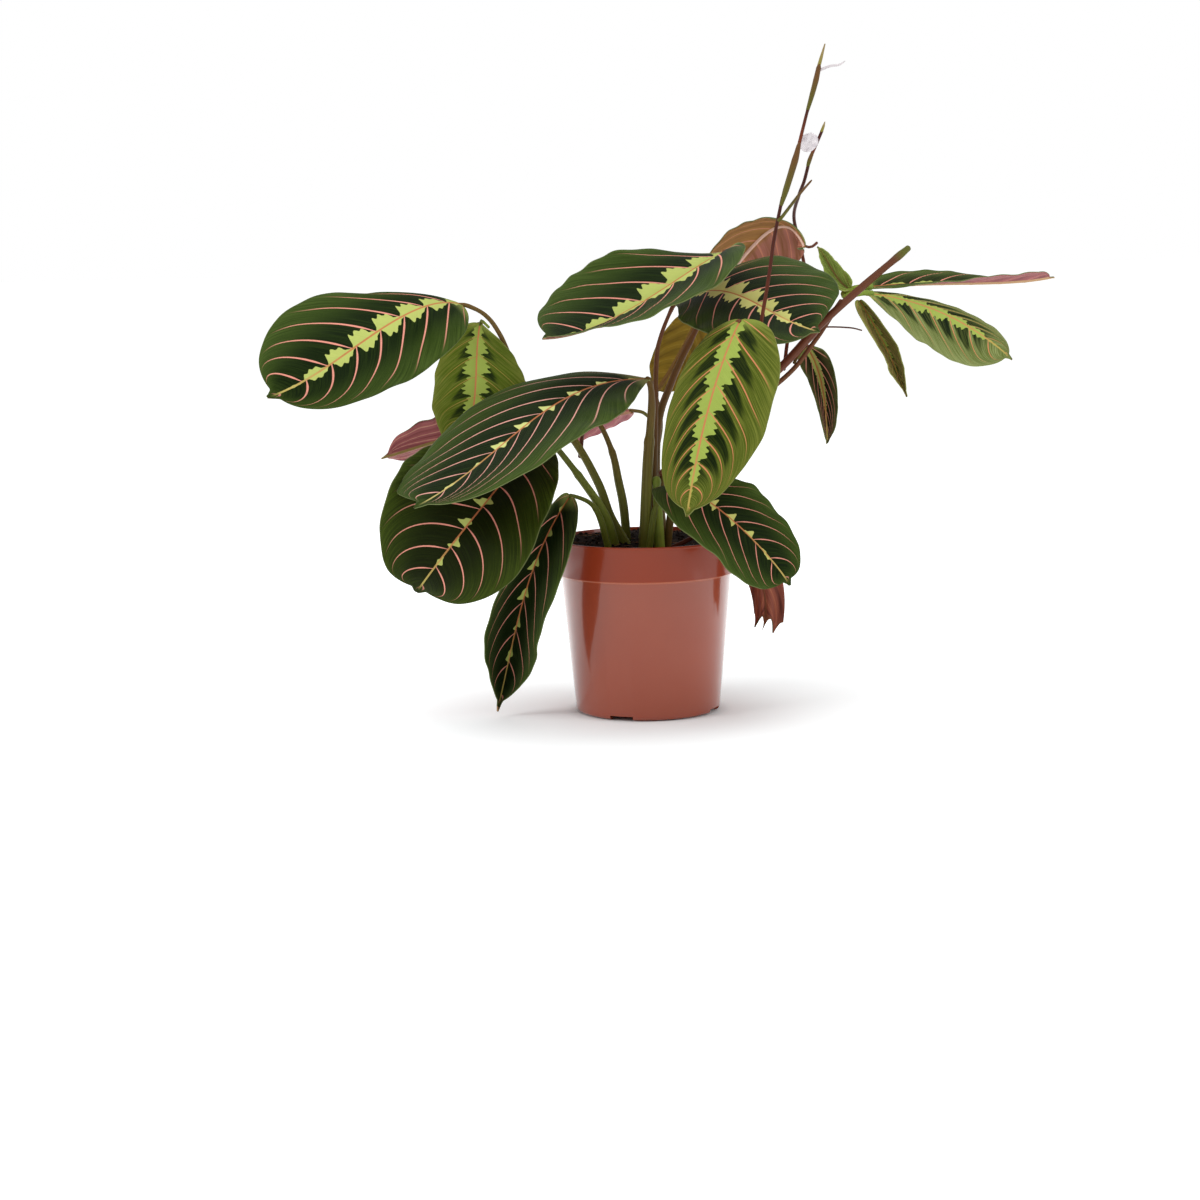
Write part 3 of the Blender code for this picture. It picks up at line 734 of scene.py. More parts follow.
petiole(
    "front_left", "stalk_green", green_stalk,
    [(-1, -10, 108.5), (2, -14, 164), (5, -22, 202), (4, -30, 218)],
    (7.2, 6.6, 5.6, 4.0), grow_to=(2, -32.5, 221), buried=True,
)
petiole(
    "low_left", "stalk_green", lush_stalk,
    [(-20, -2, 108.5), (-26, -7, 130), (-41, -10, 154), (-58, -14, 177), (-65.5, -17.5, 183.5)],
    (6.0, 3.6), grow_to=(-69, -18.5, 185), buried=True,
)
petiole(
    "far_left", "stalk_green", green_stalk,
    [
        (-13, 4, 110), (-23, 3, 129), (-31, 2, 152), (-48, -3, 183), (-78, -12, 219),
        (-92, -17, 250), (-101, -20, 263), (-112, -24, 269.5),
    ],
    (6.2, 5.6, 5.2, 4.6, 3.8, 3.4, 3.2, 2.6), grow_to=(-118, -26.5, 270.6), buried=True,
)
petiole(
    "left_hanging", "stalk_green", lush_stalk,
    [(-99, -23, 255.5), (-101.5, -22.5, 258), (-104, -18.5, 259.8)],
    (1.8, 1.8), shape=plain, grow_to=(-105.2, -16, 257),
)
stalk(
    "dry_sheath", "withered_sheath", "stalk_purple", purple_stalk,
    [(-42, 8, 168), (-41, 8, 179), (-39, 8, 188)], (3.2, 2.2),
)
petiole(
    "back_left", "stalk_green", green_stalk,
    [(-12, 12, 108.5), (-14, 10, 134), (-17, 9, 151), (-21, 8, 171), (-30, 8, 191), (-44, 11, 201)],
    (5.4, 5.6, 5.2, 4.2, 3.6, 2.8), grow_to=(-48.5, 12.5, 202.5), buried=True,
)
petiole(
    "low_hanging", "stalk_green", lush_stalk,
    [(-24.5, -10.5, 108.5), (-30, -15, 130), (-36, -19, 140), (-46.5, -26.5, 145.6)],
    (4.4, 2.8), grow_to=(-50, -29, 145.6), buried=True,
)
petiole(
    "upper_left", "stalk_green", brown_stalk,
    [
        (8, 10, 108.5), (9, 9, 182), (19, 10, 216), (36, 17, 250), (54, 26, 279), (61, 20, 293),
        (59, 3, 300.5),
    ],
    (5.6, 5.0, 4.4, 3.8, 3.4, 3.2, 3.0), grow_to=(54, -3.5, 301), buried=True,
)
petiole(
    "pink_middle", "stalk_green", green_stalk,
    [(5.5, 13, 192), (0, 18, 196), (-5, 23, 196.8)],
    (2.4, 2.4), shape=plain, grow_to=(-8.5, 27, 197),
)
petiole(
    "upper_middle", "stalk_green", brown_stalk,
    [(4, 0, 108.5), (7, 2, 172), (9, 2, 228), (12, 1, 246), (20, -3.6, 265.5)],
    (4.6, 4.0, 3.4, 3.0, 2.6), grow_to=(23.5, -3, 268), buried=True,
)
stalk(
    "green_basal_sheath", "basal_sheath", "sheath_green", bright_sheath,
    [(9, -13, 108.5), (8, -12.5, 134), (7.5, -11, 154.5)], (6.6, 5.6), buried=True,
)
petiole(
    "front_right", "stalk_green", brown_stalk,
    [(14, -7, 108.5), (20, -16, 150), (35, -44, 200), (49, -66, 243), (57.5, -71.5, 256.8)],
    (5.0, 4.6, 4.0, 3.4, 2.8), grow_to=(60, -74.6, 257.5), buried=True,
)
petiole(
    "behind_middle", "stalk_green", green_stalk,
    [(-3, 16, 108.5), (4, 20, 150), (12, 26, 185), (9.5, 31, 205.5)],
    (4.0, 2.6), grow_to=(9, 32, 209.5), buried=True,
)
petiole(
    "low_right", "stalk_green", lush_stalk,
    [(2, -18, 108.5), (6, -20.5, 135), (13, -21.6, 148.5)],
    (4.4, 3.0), grow_to=(16, -24, 150.3), buried=True,
)
petiole(
    "withered", "stalk_purple", purple_stalk,
    [(22, -8, 110.5), (40, -14, 119), (57, -18.5, 120), (63.6, -19.6, 108.5)],
    (3.0, 2.0), grow_to=(65.2, -20.3, 104.5), buried=True,
)
stalk(
    "purple_flowering_stem", "flowering_stem", "stalk_purple", cane_skin,
    [
        (10.5, -9.5, 157.5), (36, -16, 182), (85, -26, 223), (114, -28, 253), (141, -30, 277),
        (170, -34, 301),
    ],
    (3.6, 4.6, 5.0, 5.4, 5.4, 4.2),
)
stalk(
    "side_cane", "side_stem", "stalk_purple", brown_stalk,
    [(13, 2, 108.5), (17, 0, 166), (86, -12, 214), (110, -14, 240), (129, -13, 268)],
    (4.4, 4.0, 3.6, 3.4, 3.0), buried=True,
)
petiole(
    "right_hanging", "stalk_purple", brown_stalk,
    [(98.5, -8.5, 228), (102.5, -6, 234.5), (106.2, -3.2, 238.4)],
    (2.0, 2.0), shape=plain, grow_to=(108, -1, 239),
)
petiole(
    "right_down", "stalk_purple", purple_stalk,
    [(110, -10, 249.5), (120, -8, 251), (136, -2, 250), (144, 3, 248)],
    (1.2, 1.0), shape=plain,
)
petiole(
    "right_long", "stalk_green", bright_sheath,
    [(131.5, -8, 271), (137, -8.5, 274.5), (142.6, -9.6, 276)],
    (6.4, 4.6), shape=plain, grow_to=(149, -10.2, 276.6),
)
petiole(
    "right_broad", "stalk_green", bright_sheath,
    [(131.5, -15.5, 269.5), (137, -16.5, 272), (143.4, -16.4, 272.8)],
    (5.0, 3.6), shape=plain, grow_to=(149, -16.4, 272.4),
)
petiole(
    "top_back", "stalk_purple", purple_stalk,
    [(116, 12.5, 305.5), (113, 13, 303), (110.8, 14.6, 302.6)],
    (1.8, 1.8), shape=plain, grow_to=(108, 17, 303.6),
)

# ---- leaf blades --------------------------------------------------------------------------------
# Thin soft blades on a midrib, with side veins that leave it by turns and arch towards the tip. The
# upper face is velvety green with salmon veins, dark fields between them and a jagged lime band on the
# midrib; the lower face is wine pink. Some blades turn that lower face to the viewer.
BLADE_THICKNESS = 0.55
BLADE_ROWS = 132
BLADE_COLUMNS = 44
RIB_RADIUS = 1.15
QUILTING = 0.35
UNEVEN_EDGE = 0.045
GUTTER_DEPTH = 0.45
GUTTER_WIDTH = 1.3
LUMP_HEIGHT = 0.9
BLADE_ROUGHNESS = 0.5
LOBE_END_TO_FULL = (0.98, 0.78)
VEIN_SLOPE = 0.28
VEIN_SWEEP = 0.38
VEIN_START = 0.30
VEIN_RISE = 1.0
SPAN_MAP = 200.0


def midrib_at(points, t):
    """The cubic that passes through four points, spaced by their distances, at t from 0 to 1."""
    marks = [0.0]
    for a, b in zip(points, points[1:]):
        marks.append(marks[-1] + (b - a).length)
    marks = [m / marks[-1] for m in marks]
    place = Vector((0, 0, 0))
    for i, point in enumerate(points):
        weight = 1.0
        for j, mark in enumerate(marks):
            if j != i:
                weight *= (t - mark) / (marks[i] - mark)
        place += weight * point
    return place


def facing(azimuth, elevation):
    """The way a blade's upper side looks: azimuth 0 is towards the viewer and 90 to the right."""
    az, el = radians(azimuth), radians(elevation)
    return Vector((sin(az) * cos(el), -cos(az) * cos(el), sin(el)))


def half_width(s, widest):
    """A blade's outline at s along its midrib, as a share of its greatest half width. It is rounded at
    the base and drawn out into a short drip tip."""
    drawn = min(s / 0.965, 1.0) ** (log(0.5) / log(widest))
    oval = max(0.0, 1.0 - abs(2 * drawn - 1.0) ** 2.2) ** 0.6
    drip = 0.008 + 0.11 * min(1.0, max(0.0, (1 - s) / 0.05)) ** 0.9 if s > 0.5 else 0.05
    return max(oval, drip)


def section(u, fold, curl):
    """Across and up, in half widths, at share u of a half blade that is folded up and then curls."""
    steps = 8
    across = up = 0.0
    for k in range(steps):
        angle = radians(fold + curl * u * (k + 0.5) / steps)
        across += cos(angle) * u / steps
        up += sin(angle) * u / steps
    return across, up


def vein_cell(s, t, side, veins, slope):
    """The place in the row of side veins: a whole number on each vein, larger towards the tip. A vein that
    leaves the midrib at v has got to v + arch * (START + RISE * v - (START + RISE) * v * v) at t."""
    arch = slope * t + VEIN_SWEEP * t**2.2
    if arch > 1e-4:
        rise = 1 + arch * VEIN_RISE
        bend = 2 * arch * (VEIN_START + VEIN_RISE)
        s = (rise - max(0.0, rise * rise - 2 * bend * (s - arch * VEIN_START)) ** 0.5) / bend
    return s * veins + 0.14 * side + 0.3


def leaf(
    name, node, slot, upper, under, midrib, half, face, face_tip, fold=(12, 12), curl=(-20, -20),
    lean=(0, 0), widest=0.55, veins=7.0, slope=(VEIN_SLOPE, VEIN_SLOPE), ruffle=0.9, relief=1.0, seed=0.0,
    ragged=0.0, rows=BLADE_ROWS, columns=BLADE_COLUMNS, thickness=BLADE_THICKNESS, ribbed=True,
):
    """A blade on a midrib through four points, looking along face at its base and face_tip at its tip.
    Its halves, left first when looking along it from above, have the widths half, rise by fold, turn on
    by curl and sweep forward by lean. ruffle is how far its edges wave and relief how much it swells
    between its veins. A ragged blade is pleated and ends in three points. A ribbed one has a midrib that
    stands out below."""
    points = [Vector(p) for p in midrib]
    length = sum((b - a).length for a, b in zip(points, points[1:]))
    spine = []
    for i in range(rows + 1):
        s = 0.5 - 0.5 * cos(pi * i / rows)
        ahead = (midrib_at(points, min(s + 0.01, 1.0)) - midrib_at(points, max(s - 0.01, 0.0))).normalized()
        across = ahead.cross(facing(*face).lerp(facing(*face_tip), s)).normalized()
        spine.append((s, midrib_at(points, s), ahead, across, across.cross(ahead), half_width(s, widest)))
    profiles = []
    for j in range(columns + 1):
        x = 2 * j / columns - 1
        t = abs(x) ** 1.35
        side = 0 if x >= 0 else 1
        profiles.append((x, t, side, 1 if x >= 0 else -1, section(t, fold[side], curl[side])))
    made = added(
        name, bpy.ops.mesh.primitive_grid_add, x_subdivisions=columns, y_subdivisions=rows, size=1.0
    )
    mesh = made.data
    grid = [(round((v.co.x + 0.5) * columns), round((v.co.y + 0.5) * rows)) for v in mesh.vertices]
    ribs = []
    for vertex, (j, i) in zip(mesh.vertices, grid):
        s, here, ahead, across, up, width = spine[i]
        x, t, side, sign, (sideways, upwards) = profiles[j]
        uneven = 1 + UNEVEN_EDGE * noise.noise(Vector((s * 5.5, 3.0 * sign, 9.1 * seed)))
        reach = half[side] * width * uneven
        cell = vein_cell(s, t, side, veins, slope[side])
        off_vein = abs(cell - round(cell))
        furrow = 0.4 * exp(-((off_vein / 0.08) ** 2))
        swell = QUILTING * (sin(pi * min(t, 1)) * (off_vein * 2) ** 0.8 - furrow)
        gutter = -GUTTER_DEPTH * exp(-((t * reach / GUTTER_WIDTH) ** 2))
        wave = sin(2 * pi * (3.1 * s + 0.37 * seed + 0.3 * side))
        wave += 0.7 * sin(2 * pi * (7.3 * s + 1.3 * seed))
        wave = ruffle * t**3 * wave * sin(pi * min(max(s, 0.0), 1.0)) ** 0.5
        lumps = LUMP_HEIGHT * t * noise.noise(Vector((s * 6, sign * t * 2.5, 7.3 * seed + 3)))
        rise = upwards * reach + relief * (swell * min(1.0, width * 2) + gutter + lumps) + wave
        if ragged:
            reach = half[side] * min(1.0, (s / 0.4 + 0.05) ** 0.7) * (1 - 0.2 * s)
            rise = upwards * reach + ragged * s * cos(3 * pi * x)
            here = here - ahead * (4.5 * ragged * s**3 * abs(sin(1.5 * pi * x)))
        place = here + across * (sideways * reach * sign) + up * rise + ahead * (lean[side] * t * reach)
        vertex.co = place * MM
        rib = RIB_RADIUS * (1.1 - 0.85 * s)
        ribs.append((-up, rib * max(0.0, 1 - (t * reach / (1.2 * rib)) ** 2) ** 0.5))
    mesh.uv_layers.active.name = "blade"
    mesh.uv_layers.new(name="veins")
    mesh.uv_layers.new(name="lobes")
    blade_map, vein_map, lobe_map = (mesh.uv_layers[layer] for layer in ("blade", "veins", "lobes"))
    for cell_face in mesh.polygons:
        right = sum(grid[v][0] for v in cell_face.vertices) / len(cell_face.vertices) > columns / 2
        side = 0 if right else 1
        for loop_index in cell_face.loop_indices:
            j, i = grid[mesh.loops[loop_index].vertex_index]
            s, t = spine[i][0], profiles[j][1]
            reach = half[side] * spine[i][5] * t
            blade_map.data[loop_index].uv = (0.5 + reach / SPAN_MAP * (1 if right else -1), s)
            cell = vein_cell(s, t, side, veins, slope[side])
            vein_map.data[loop_index].uv = (cell, t)
            straight = vein_cell(s + lean[side] * reach / length, 0.0, side, veins, 0.0)
            lobe_map.data[loop_index].uv = (0.25 * cell + 0.75 * straight, t)
    mesh.materials.append(upper)
    mesh.materials.append(under)
    thicken = made.modifiers.new("thickness", "SOLIDIFY")
    thicken.thickness = thickness * MM
    thicken.offset = -1.0
    thicken.use_even_offset = False
    thicken.material_offset = 1
    thicken.material_offset_rim = 0
    count = len(mesh.vertices)
    apply_modifiers(made)
    if ribbed:
        for vertex, (down, depth) in zip(list(made.data.vertices)[count:], ribs):
            vertex.co += down * (depth * MM)
    made.data.shade_smooth()
    stand_in(made, slot, node)


def upper_finish(
    name, seed, ground, field, margin, band, vein, midrib, band_width=0.23, neck=0.2, lobe_start=0.02,
    lobe_peak=0.5, vein_width=0.054, field_reach=0.78, field_soft=0.5, patches=False, spots=False,
    stripes=0.5, **constants,
):
    """The upper face: a ground colour striped along the side veins, a darker field on each side of the
    midrib, or patches of it between the veins, and the jagged lime band, or spots of it."""
    finish = Finish(name, BLADE_ROUGHNESS, Specular_IOR_Level=0.04, **constants)
    cell, t = finish.pair("veins")
    across, s = finish.pair("blade")
    lobes = finish.pair("lobes")[0]
    span = abs(across - 0.5) * SPAN_MAP
    left = across.ramp(0.5005, 0.4995)
    here = cell.math("FRACT")
    off_vein = 0.5 - abs(here - 0.5)
    fine = finish.noise(finish.vector(cell * 40, t * 1.6, seed), 1.0, 3.0)
    streak = finish.noise(finish.vector(cell * 9, t * 1.3, seed + 4), 1.0, 3.0)
    jag = finish.noise(finish.vector(lobes * 9, t * 12, seed + 8), 1.0, 2.0)
    stripe = (fine + 0.6 * (streak - 0.5)).ramp(0.42, 0.64)

    leaf_green = finish.blend((t + 0.5 * (streak - 0.5)).ramp(0.72, 1.15) * 0.8, ground, margin)
    leaf_green = finish.blend(stripe * stripes, leaf_green, margin)
    reach_edge = field_reach + 0.5 * (streak - 0.5) + 0.3 * (fine - 0.5)
    if patches:
        lens = here.ramp(0.0, 0.4) * here.ramp(1.02, 0.7)
        reach_edge = reach_edge * (0.15 + 0.85 * lens)
    dark = (reach_edge - t).ramp(0.0, field_soft) * s.ramp(1.0, 0.88)
    if patches:
        dark = dark * off_vein.ramp(0.03, 0.09) * s.ramp(0.86, 0.72)
    shade = finish.blend(stripe * 0.42, field, ground)
    leaf_green = finish.blend(dark, leaf_green, shade)

    place = lobes.math("FRACT")
    lobe = place.ramp(lobe_start, lobe_peak) * place.ramp(*LOBE_END_TO_FULL)
    tooth = (lobes * (8 * pi) + 2.0 * left).math("SINE")
    teeth = 0.3 * tooth * lobe.ramp(0.0, 0.5) + 0.6 * (jag - 0.5)
    reach = band_width * (neck * s.ramp(1.1, 0.2) + (1.0 - neck) * lobe + 0.45 * teeth)
    if spots:
        rare = finish.noise(finish.vector(lobes * 0.8, left * 2.0, seed + 2), 1.0, 0.0).ramp(0.36, 0.5)
        reach = reach * rare - 0.006
    reach = reach * (0.55 * s.ramp(0.99, 0.72) + 0.45 * s.ramp(1.0, 0.35))
    in_band = (reach - t).ramp(-0.004, 0.008)
    lime = finish.blend(fine * 0.7, band, finish.blend(0.45, band, ground))
    colour = finish.blend(in_band, leaf_green, lime)
    foot = s.ramp(0.09, 0.01)
    colour = finish.blend(foot * 0.7, colour, finish.blend(0.5, margin, band))

    width = vein_width * (0.4 + 0.6 * t.ramp(0.02, 0.2)) * (1.0 - 0.4 * t)
    line = off_vein.ramp(width, width * 0.45) * t.ramp(0.97, 0.75) * s.ramp(0.985, 0.93)
    vein_tone = finish.blend(in_band * 0.5, finish.blend(t.ramp(0.5, 1.0) * 0.6, vein, margin), midrib)
    colour = finish.blend(line * 0.95, colour, vein_tone)
    rib = span.ramp(0.75, 0.45) * s.ramp(0.99, 0.93)
    colour = finish.blend(rib * 0.9, colour, finish.blend(s.ramp(0.55, 1.0) * 0.6, midrib, band))
    colour = finish.blend(t.ramp(0.985, 0.997) * 0.4, colour, finish.blend(0.4, margin, PALE_EDGE))
    finish.feed("Base Color", colour)
    finish.feed("Roughness", BLADE_ROUGHNESS - 0.05 + 0.12 * fine - 0.08 * line)
    finish.bump(0.6 * stripe + 0.7 * off_vein.ramp(0.0, 0.12), 0.09)
    return finish.material


def under_finish(name, seed, ground, field, vein, midrib, far_side=None, vein_width=0.05):
    """The lower face: wine pink, or olive that is partly its own colour and partly painted light shining
    through it from behind, darker between the raised veins, and perhaps of another colour on one side of
    the midrib."""
    finish = Finish(name, BLADE_ROUGHNESS, Specular_IOR_Level=0.12)
    cell, t = finish.pair("veins")
    across = finish.pair("blade")[0]
    span = abs(across - 0.5) * SPAN_MAP
    off_vein = 0.5 - abs(cell.math("FRACT") - 0.5)
    fine = finish.noise(finish.vector(cell * 30, t * 2.0, seed), 1.0, 2.0)
    streak = finish.noise(finish.vector(cell * 5, t * 1.5, seed + 3), 1.0, 3.0)
    skin = ground
    if far_side:
        skin = finish.blend(across.ramp(0.5, 0.53), ground, far_side)
    skin = finish.blend(off_vein.ramp(0.05, 0.42) * streak.ramp(0.2, 0.8), skin, field)
    skin = finish.blend(fine.ramp(0.4, 0.9) * 0.4, skin, field)
    width = vein_width * (1.0 - 0.4 * t)
    line = off_vein.ramp(width, width * 0.4) * t.ramp(1.0, 0.85)
    skin = finish.blend(line * 0.8, skin, vein)
    skin = finish.blend(span.ramp(1.5, 0.9), skin, midrib)
    finish.feed("Base Color", skin)
    finish.feed("Roughness", BLADE_ROUGHNESS - 0.05 + 0.12 * fine)
    finish.bump(0.4 * fine + 0.8 * line, 0.12)
    return finish.material


PALE_EDGE = (190, 190, 140)
LIME = (188, 198, 108)
SALMON = (226, 148, 130)
MIDRIB = (184, 112, 72)

wine_under = under_finish(
    "wine_underside", 1.0, (146, 84, 84), (108, 56, 60), (170, 112, 100), (170, 136, 100)
)
mauve_under = under_finish(
    "mauve_underside", 2.0, (166, 100, 98), (104, 48, 54), (206, 154, 132), (150, 132, 78),
    vein_width=0.08,
)
rosy_under = under_finish(
    "rosy_underside", 2.5, (196, 122, 124), (158, 84, 92), (206, 146, 132), (190, 140, 110)
)
amber_under = under_finish(
    "amber_underside", 3.0, (156, 112, 58), (118, 80, 40), (200, 132, 104), (226, 188, 170),
    far_side=(172, 112, 96), vein_width=0.07,
)
# This olive is partly the lower face's own colour and partly painted light shining through the thin blade
# from behind.
backlit_olive_under = under_finish(
    "olive_underside", 4.0, (136, 112, 34), (100, 80, 22), (150, 126, 46), (110, 80, 36)
)
dry_under = under_finish(
    "withered_underside", 5.0, (130, 68, 50), (72, 30, 24), (150, 92, 62), (104, 58, 36)
)


# The deep green face that most leaves of the clump have.
DARK = dict(
    ground=(44, 60, 18), field=(16, 28, 7), margin=(72, 90, 36), band=LIME, vein=SALMON, midrib=MIDRIB
)
# The same with its lime band broken up into small jagged spots.
SPOTTED = dict(
    DARK, band_width=0.13, neck=-0.25, lobe_start=0.35, lobe_peak=0.82, spots=True, vein_width=0.048
)
# The light green face of a young leaf, with dark patches on both sides of a broad band.
FRESH = dict(
    ground=(70, 82, 21), field=(14, 26, 6), margin=(112, 118, 48), band=(158, 176, 82), vein=(206, 128, 90),
    midrib=(196, 118, 80), band_width=0.27, neck=0.45, lobe_start=-0.3, lobe_peak=0.6, vein_width=0.042,
    field_reach=0.66, field_soft=0.16, patches=True, stripes=0.85,
)


def blade(number, place, slot, kind, midrib, half, face, face_tip, look=None, under=wine_under, **ways):
    """A leaf of the clump. Its number makes its waves and pattern its own, and look is what its upper
    face has unlike its kind."""
    upper = upper_finish(place + "_face", 10.0 * number, **dict(kind, **(look or {})))
    leaf(
        "leaf_" + place, "blade_" + place, "leaf_" + slot, upper, under, midrib, half, face, face_tip,
        seed=number / 10, **ways,
    )


blade(
    1, "far_left", "dark", DARK,
    [(-116, -25, 271), (-153, -60, 264), (-191, -54, 240), (-239, -54, 215)],
    (51, 37), (30, 35), (50, 0), fold=(-25, 15), curl=(-35, -15), lean=(0.45, -0.35), widest=0.52,
    veins=8.0, slope=(0.28, 0.42), look=dict(band_width=0.19, neck=0.15, vein_width=0.062),
)
blade(
    2, "left_hanging", "fresh", FRESH,
    [(-105, -17, 258), (-108, -10, 238), (-110, -6, 213), (-126, -6, 168)],
    (32, 35), (-20, 15), (-5, 15), fold=(0, 10), curl=(-25, -15), lean=(0, -0.05), widest=0.53,
    look=dict(
        band_width=0.30, ground=(76, 94, 18), field_reach=0.52, vein=(158, 132, 66), vein_width=0.034,
    ),
)
blade(
    3, "front_left", "dark", SPOTTED,
    [(3, -32, 221), (-43, -48, 214), (-92, -80, 183), (-145, -100, 148)],
    (51, 48), (45, 45), (-40, 15), fold=(-10, 25), curl=(-30, -5), lean=(0.7, -0.45), widest=0.60,
    veins=8.6, slope=(0.38, 1.05),
    look=dict(
        band_width=0.11, band=(214, 218, 136), vein=(224, 162, 148), vein_width=0.060,
        Sheen_Weight=0.04,
    ),
)
blade(
    4, "back_left", "underside", DARK,
    [(-47, 12, 202), (-89, 30, 193), (-129, 26, 182), (-174, 10, 170)],
    (26, 25), (180, 60), (185, 45), fold=(20, 15), curl=(5, 0), lean=(0.1, 0), widest=0.56, veins=4.0,
    slope=(1.8, 1.8), ruffle=2.0, under=mauve_under,
)
blade(
    5, "pink_middle", "underside", DARK,
    [(-7, 26, 197), (-29, 44, 191), (-56, 54, 181), (-88, 56, 165)],
    (20, 20), (180, 50), (180, 50), fold=(10, 10), curl=(0, 0), under=rosy_under,
)
blade(
    6, "low_left", "dark", SPOTTED,
    [(-68, -18, 185), (-94, -38, 155), (-120, -58, 125), (-150, -38, 86)],
    (55, 51), (-45, 5), (-25, -20), fold=(30, 10), curl=(10, -5), lean=(0.1, -0.1), widest=0.52,
    veins=8.0, look=dict(ground=(34, 44, 9), field=(20, 26, 4), margin=(62, 76, 20)),
)
blade(
    7, "low_hanging", "dark", SPOTTED,
    [(-49, -28, 146), (-67, -50, 117), (-83, -31, 72), (-100, -22, 4)],
    (30, 31), (0, 35), (-15, 35), fold=(65, 25), curl=(35, 5), lean=(0.1, 0), widest=0.53,
    look=dict(band_width=0.16, ground=(40, 50, 26)),
)
blade(
    8, "upper_left", "dark", DARK,
    [(56, -2, 301), (24, -34, 285), (-18, -40, 261), (-64, -47, 249)],
    (49, 42), (-40, 20), (-5, 80), fold=(20, 20), curl=(0, -10), lean=(0.5, -0.35), slope=(0.28, 0.5),
    look=dict(neck=0.3, Sheen_Weight=0.05),
)
blade(
    9, "upper_middle", "dark", DARK,
    [(22, 0, 268), (51, -16, 276), (81, -42, 263), (111, -56, 250)],
    (44, 52), (-60, 35), (-20, 30), fold=(30, -15), curl=(0, -25), lean=(-0.1, 0.35), widest=0.51,
    veins=8.0, look=dict(neck=0.25, band=(212, 210, 124), Sheen_Weight=0.06),
)
blade(
    10, "front_right", "fresh", FRESH,
    [(60, -74, 259), (50, -82, 238), (36, -88, 195), (23, -128, 143)],
    (30, 40), (-25, 25), (5, 15), fold=(-10, 10), curl=(-30, -10), lean=(-0.3, -0.35), widest=0.46,
    veins=8.0, slope=(0.55, 0.6), look=dict(vein_width=0.05),
)
blade(
    11, "behind_middle", "olive", DARK,
    [(41, 32, 266), (33, 36, 247), (20, 36, 224), (9, 32, 208)],
    (17, 17), (180, 10), (180, 10), veins=6.0, under=backlit_olive_under,
)
blade(
    12, "top_back", "underside", DARK,
    [(109, 16, 303), (93, 35, 317), (73, 49, 301), (52, 68, 276)],
    (33, 31), (185, 50), (175, 30), fold=(5, -10), curl=(-20, -30), lean=(-0.05, 0.05), widest=0.56,
    under=amber_under,
)
blade(
    13, "right_long", "dark", DARK,
    [(144, -10, 276), (183, 6, 278), (228, 22, 277.5), (279, 54, 280)],
    (15, 16), (0, 52), (-5, 112), fold=(25, 25), curl=(-10, -15), lean=(0.05, -0.1), ruffle=0.5,
    look=dict(band_width=0.12, ground=(70, 82, 40), field=(38, 46, 22)),
)
blade(
    14, "right_broad", "fresh", FRESH,
    [(145, -16, 273), (178, -21, 265.5), (207, -36, 251.5), (234, -49, 230)],
    (30, 22), (10, 66), (-8, 58), fold=(-12, -6), curl=(-8, -20), lean=(0.2, 0.1), widest=0.54,
    slope=(0.35, 0.6), ruffle=0.35, look=dict(ground=(92, 104, 50), margin=(138, 146, 92)),
)
blade(
    15, "right_down", "fresh", FRESH,
    [(141, -12, 268), (151, -10, 251), (164, 5, 228), (174, 6, 204)],
    (22, 12), (-5, 25), (5, 20), fold=(55, 70), curl=(5, 20), lean=(-0.35, -0.05), widest=0.47,
    ruffle=0.35,
    look=dict(ground=(104, 88, 46), margin=(142, 146, 76), field_reach=0.3, vein=(196, 140, 110)),
)
blade(
    16, "right_hanging", "dark", DARK,
    [(107, -2, 239), (115, 4, 223), (119, -1, 202), (121, 2, 174)],
    (12, 15), (-25, 15), (15, 10), fold=(40, 35), curl=(15, 20), lean=(-0.1, -0.3), widest=0.20,
    slope=(1.2, 1.2), ruffle=0.6, look=dict(ground=(74, 66, 42), vein_width=0.11, neck=1.0),
)
blade(
    17, "low_right", "dark", SPOTTED,
    [(15, -22, 150), (40, -63, 144), (67, -68, 120), (90, -71, 91)],
    (39, 34), (5, 55), (5, 55), fold=(10, 5), curl=(-5, -10), lean=(0.2, 0.3), widest=0.56, veins=8.0,
    look=dict(band_width=0.16, band=(206, 206, 116)),
)
blade(
    18, "withered", "underside", DARK,
    [(65, -20, 106), (72, -28, 95), (77, -25, 76), (75, -20, 53)],
    (17, 16), (175, 0), (170, 0), fold=(25, 35), curl=(20, 25), veins=3.0, slope=(2.2, 2.2), ragged=2.2,
    under=dry_under,
)
leaf(
    "wing_of_sheath", "sheath_wing", "leaf_fresh",
    upper_finish("wing_face", 190.0, **dict(
        FRESH, ground=(96, 116, 44), margin=(150, 164, 84), vein=(110, 70, 40), midrib=(130, 96, 60),
        band_width=0.0, field_reach=-1.0,
    )),
    wine_under,
    [(135, -10, 275), (128, -4, 282), (122, 4, 293), (116, 10, 303)],
    (8, 8), (-20, 30), (-20, 30), fold=(35, 35), curl=(20, 20), lean=(0, 0), widest=0.2, veins=4.0,
    slope=(1.6, 1.6), seed=1.9, ruffle=0.4,
)

# ---- flowers ------------------------------------------------------------------------------------
# Two wiry flower stalks, purple-brown, that zigzag a little at each joint. A joint carries a folded
# olive bract rolled round the next length of stalk; small white petals stand out of the upper ones.
wire_skin = stalk_finish(
    "flower_wire", (104, 48, 24), (64, 26, 18), (40, 16, 12), 0.4, (104, 52, 34)
)
bract_skin = stalk_finish(
    "bract", (84, 82, 28), (98, 66, 34), (56, 38, 20), 0.45, (176, 164, 92)
)
tip_skin = stalk_finish(
    "flower_tip", (128, 120, 44), (146, 126, 88), (106, 88, 54), 0.5, (170, 150, 110)
)
petal_skin = stalk_finish(
    "petal", (196, 188, 190), (206, 198, 200), (168, 160, 164), 0.5, (214, 208, 210)
)


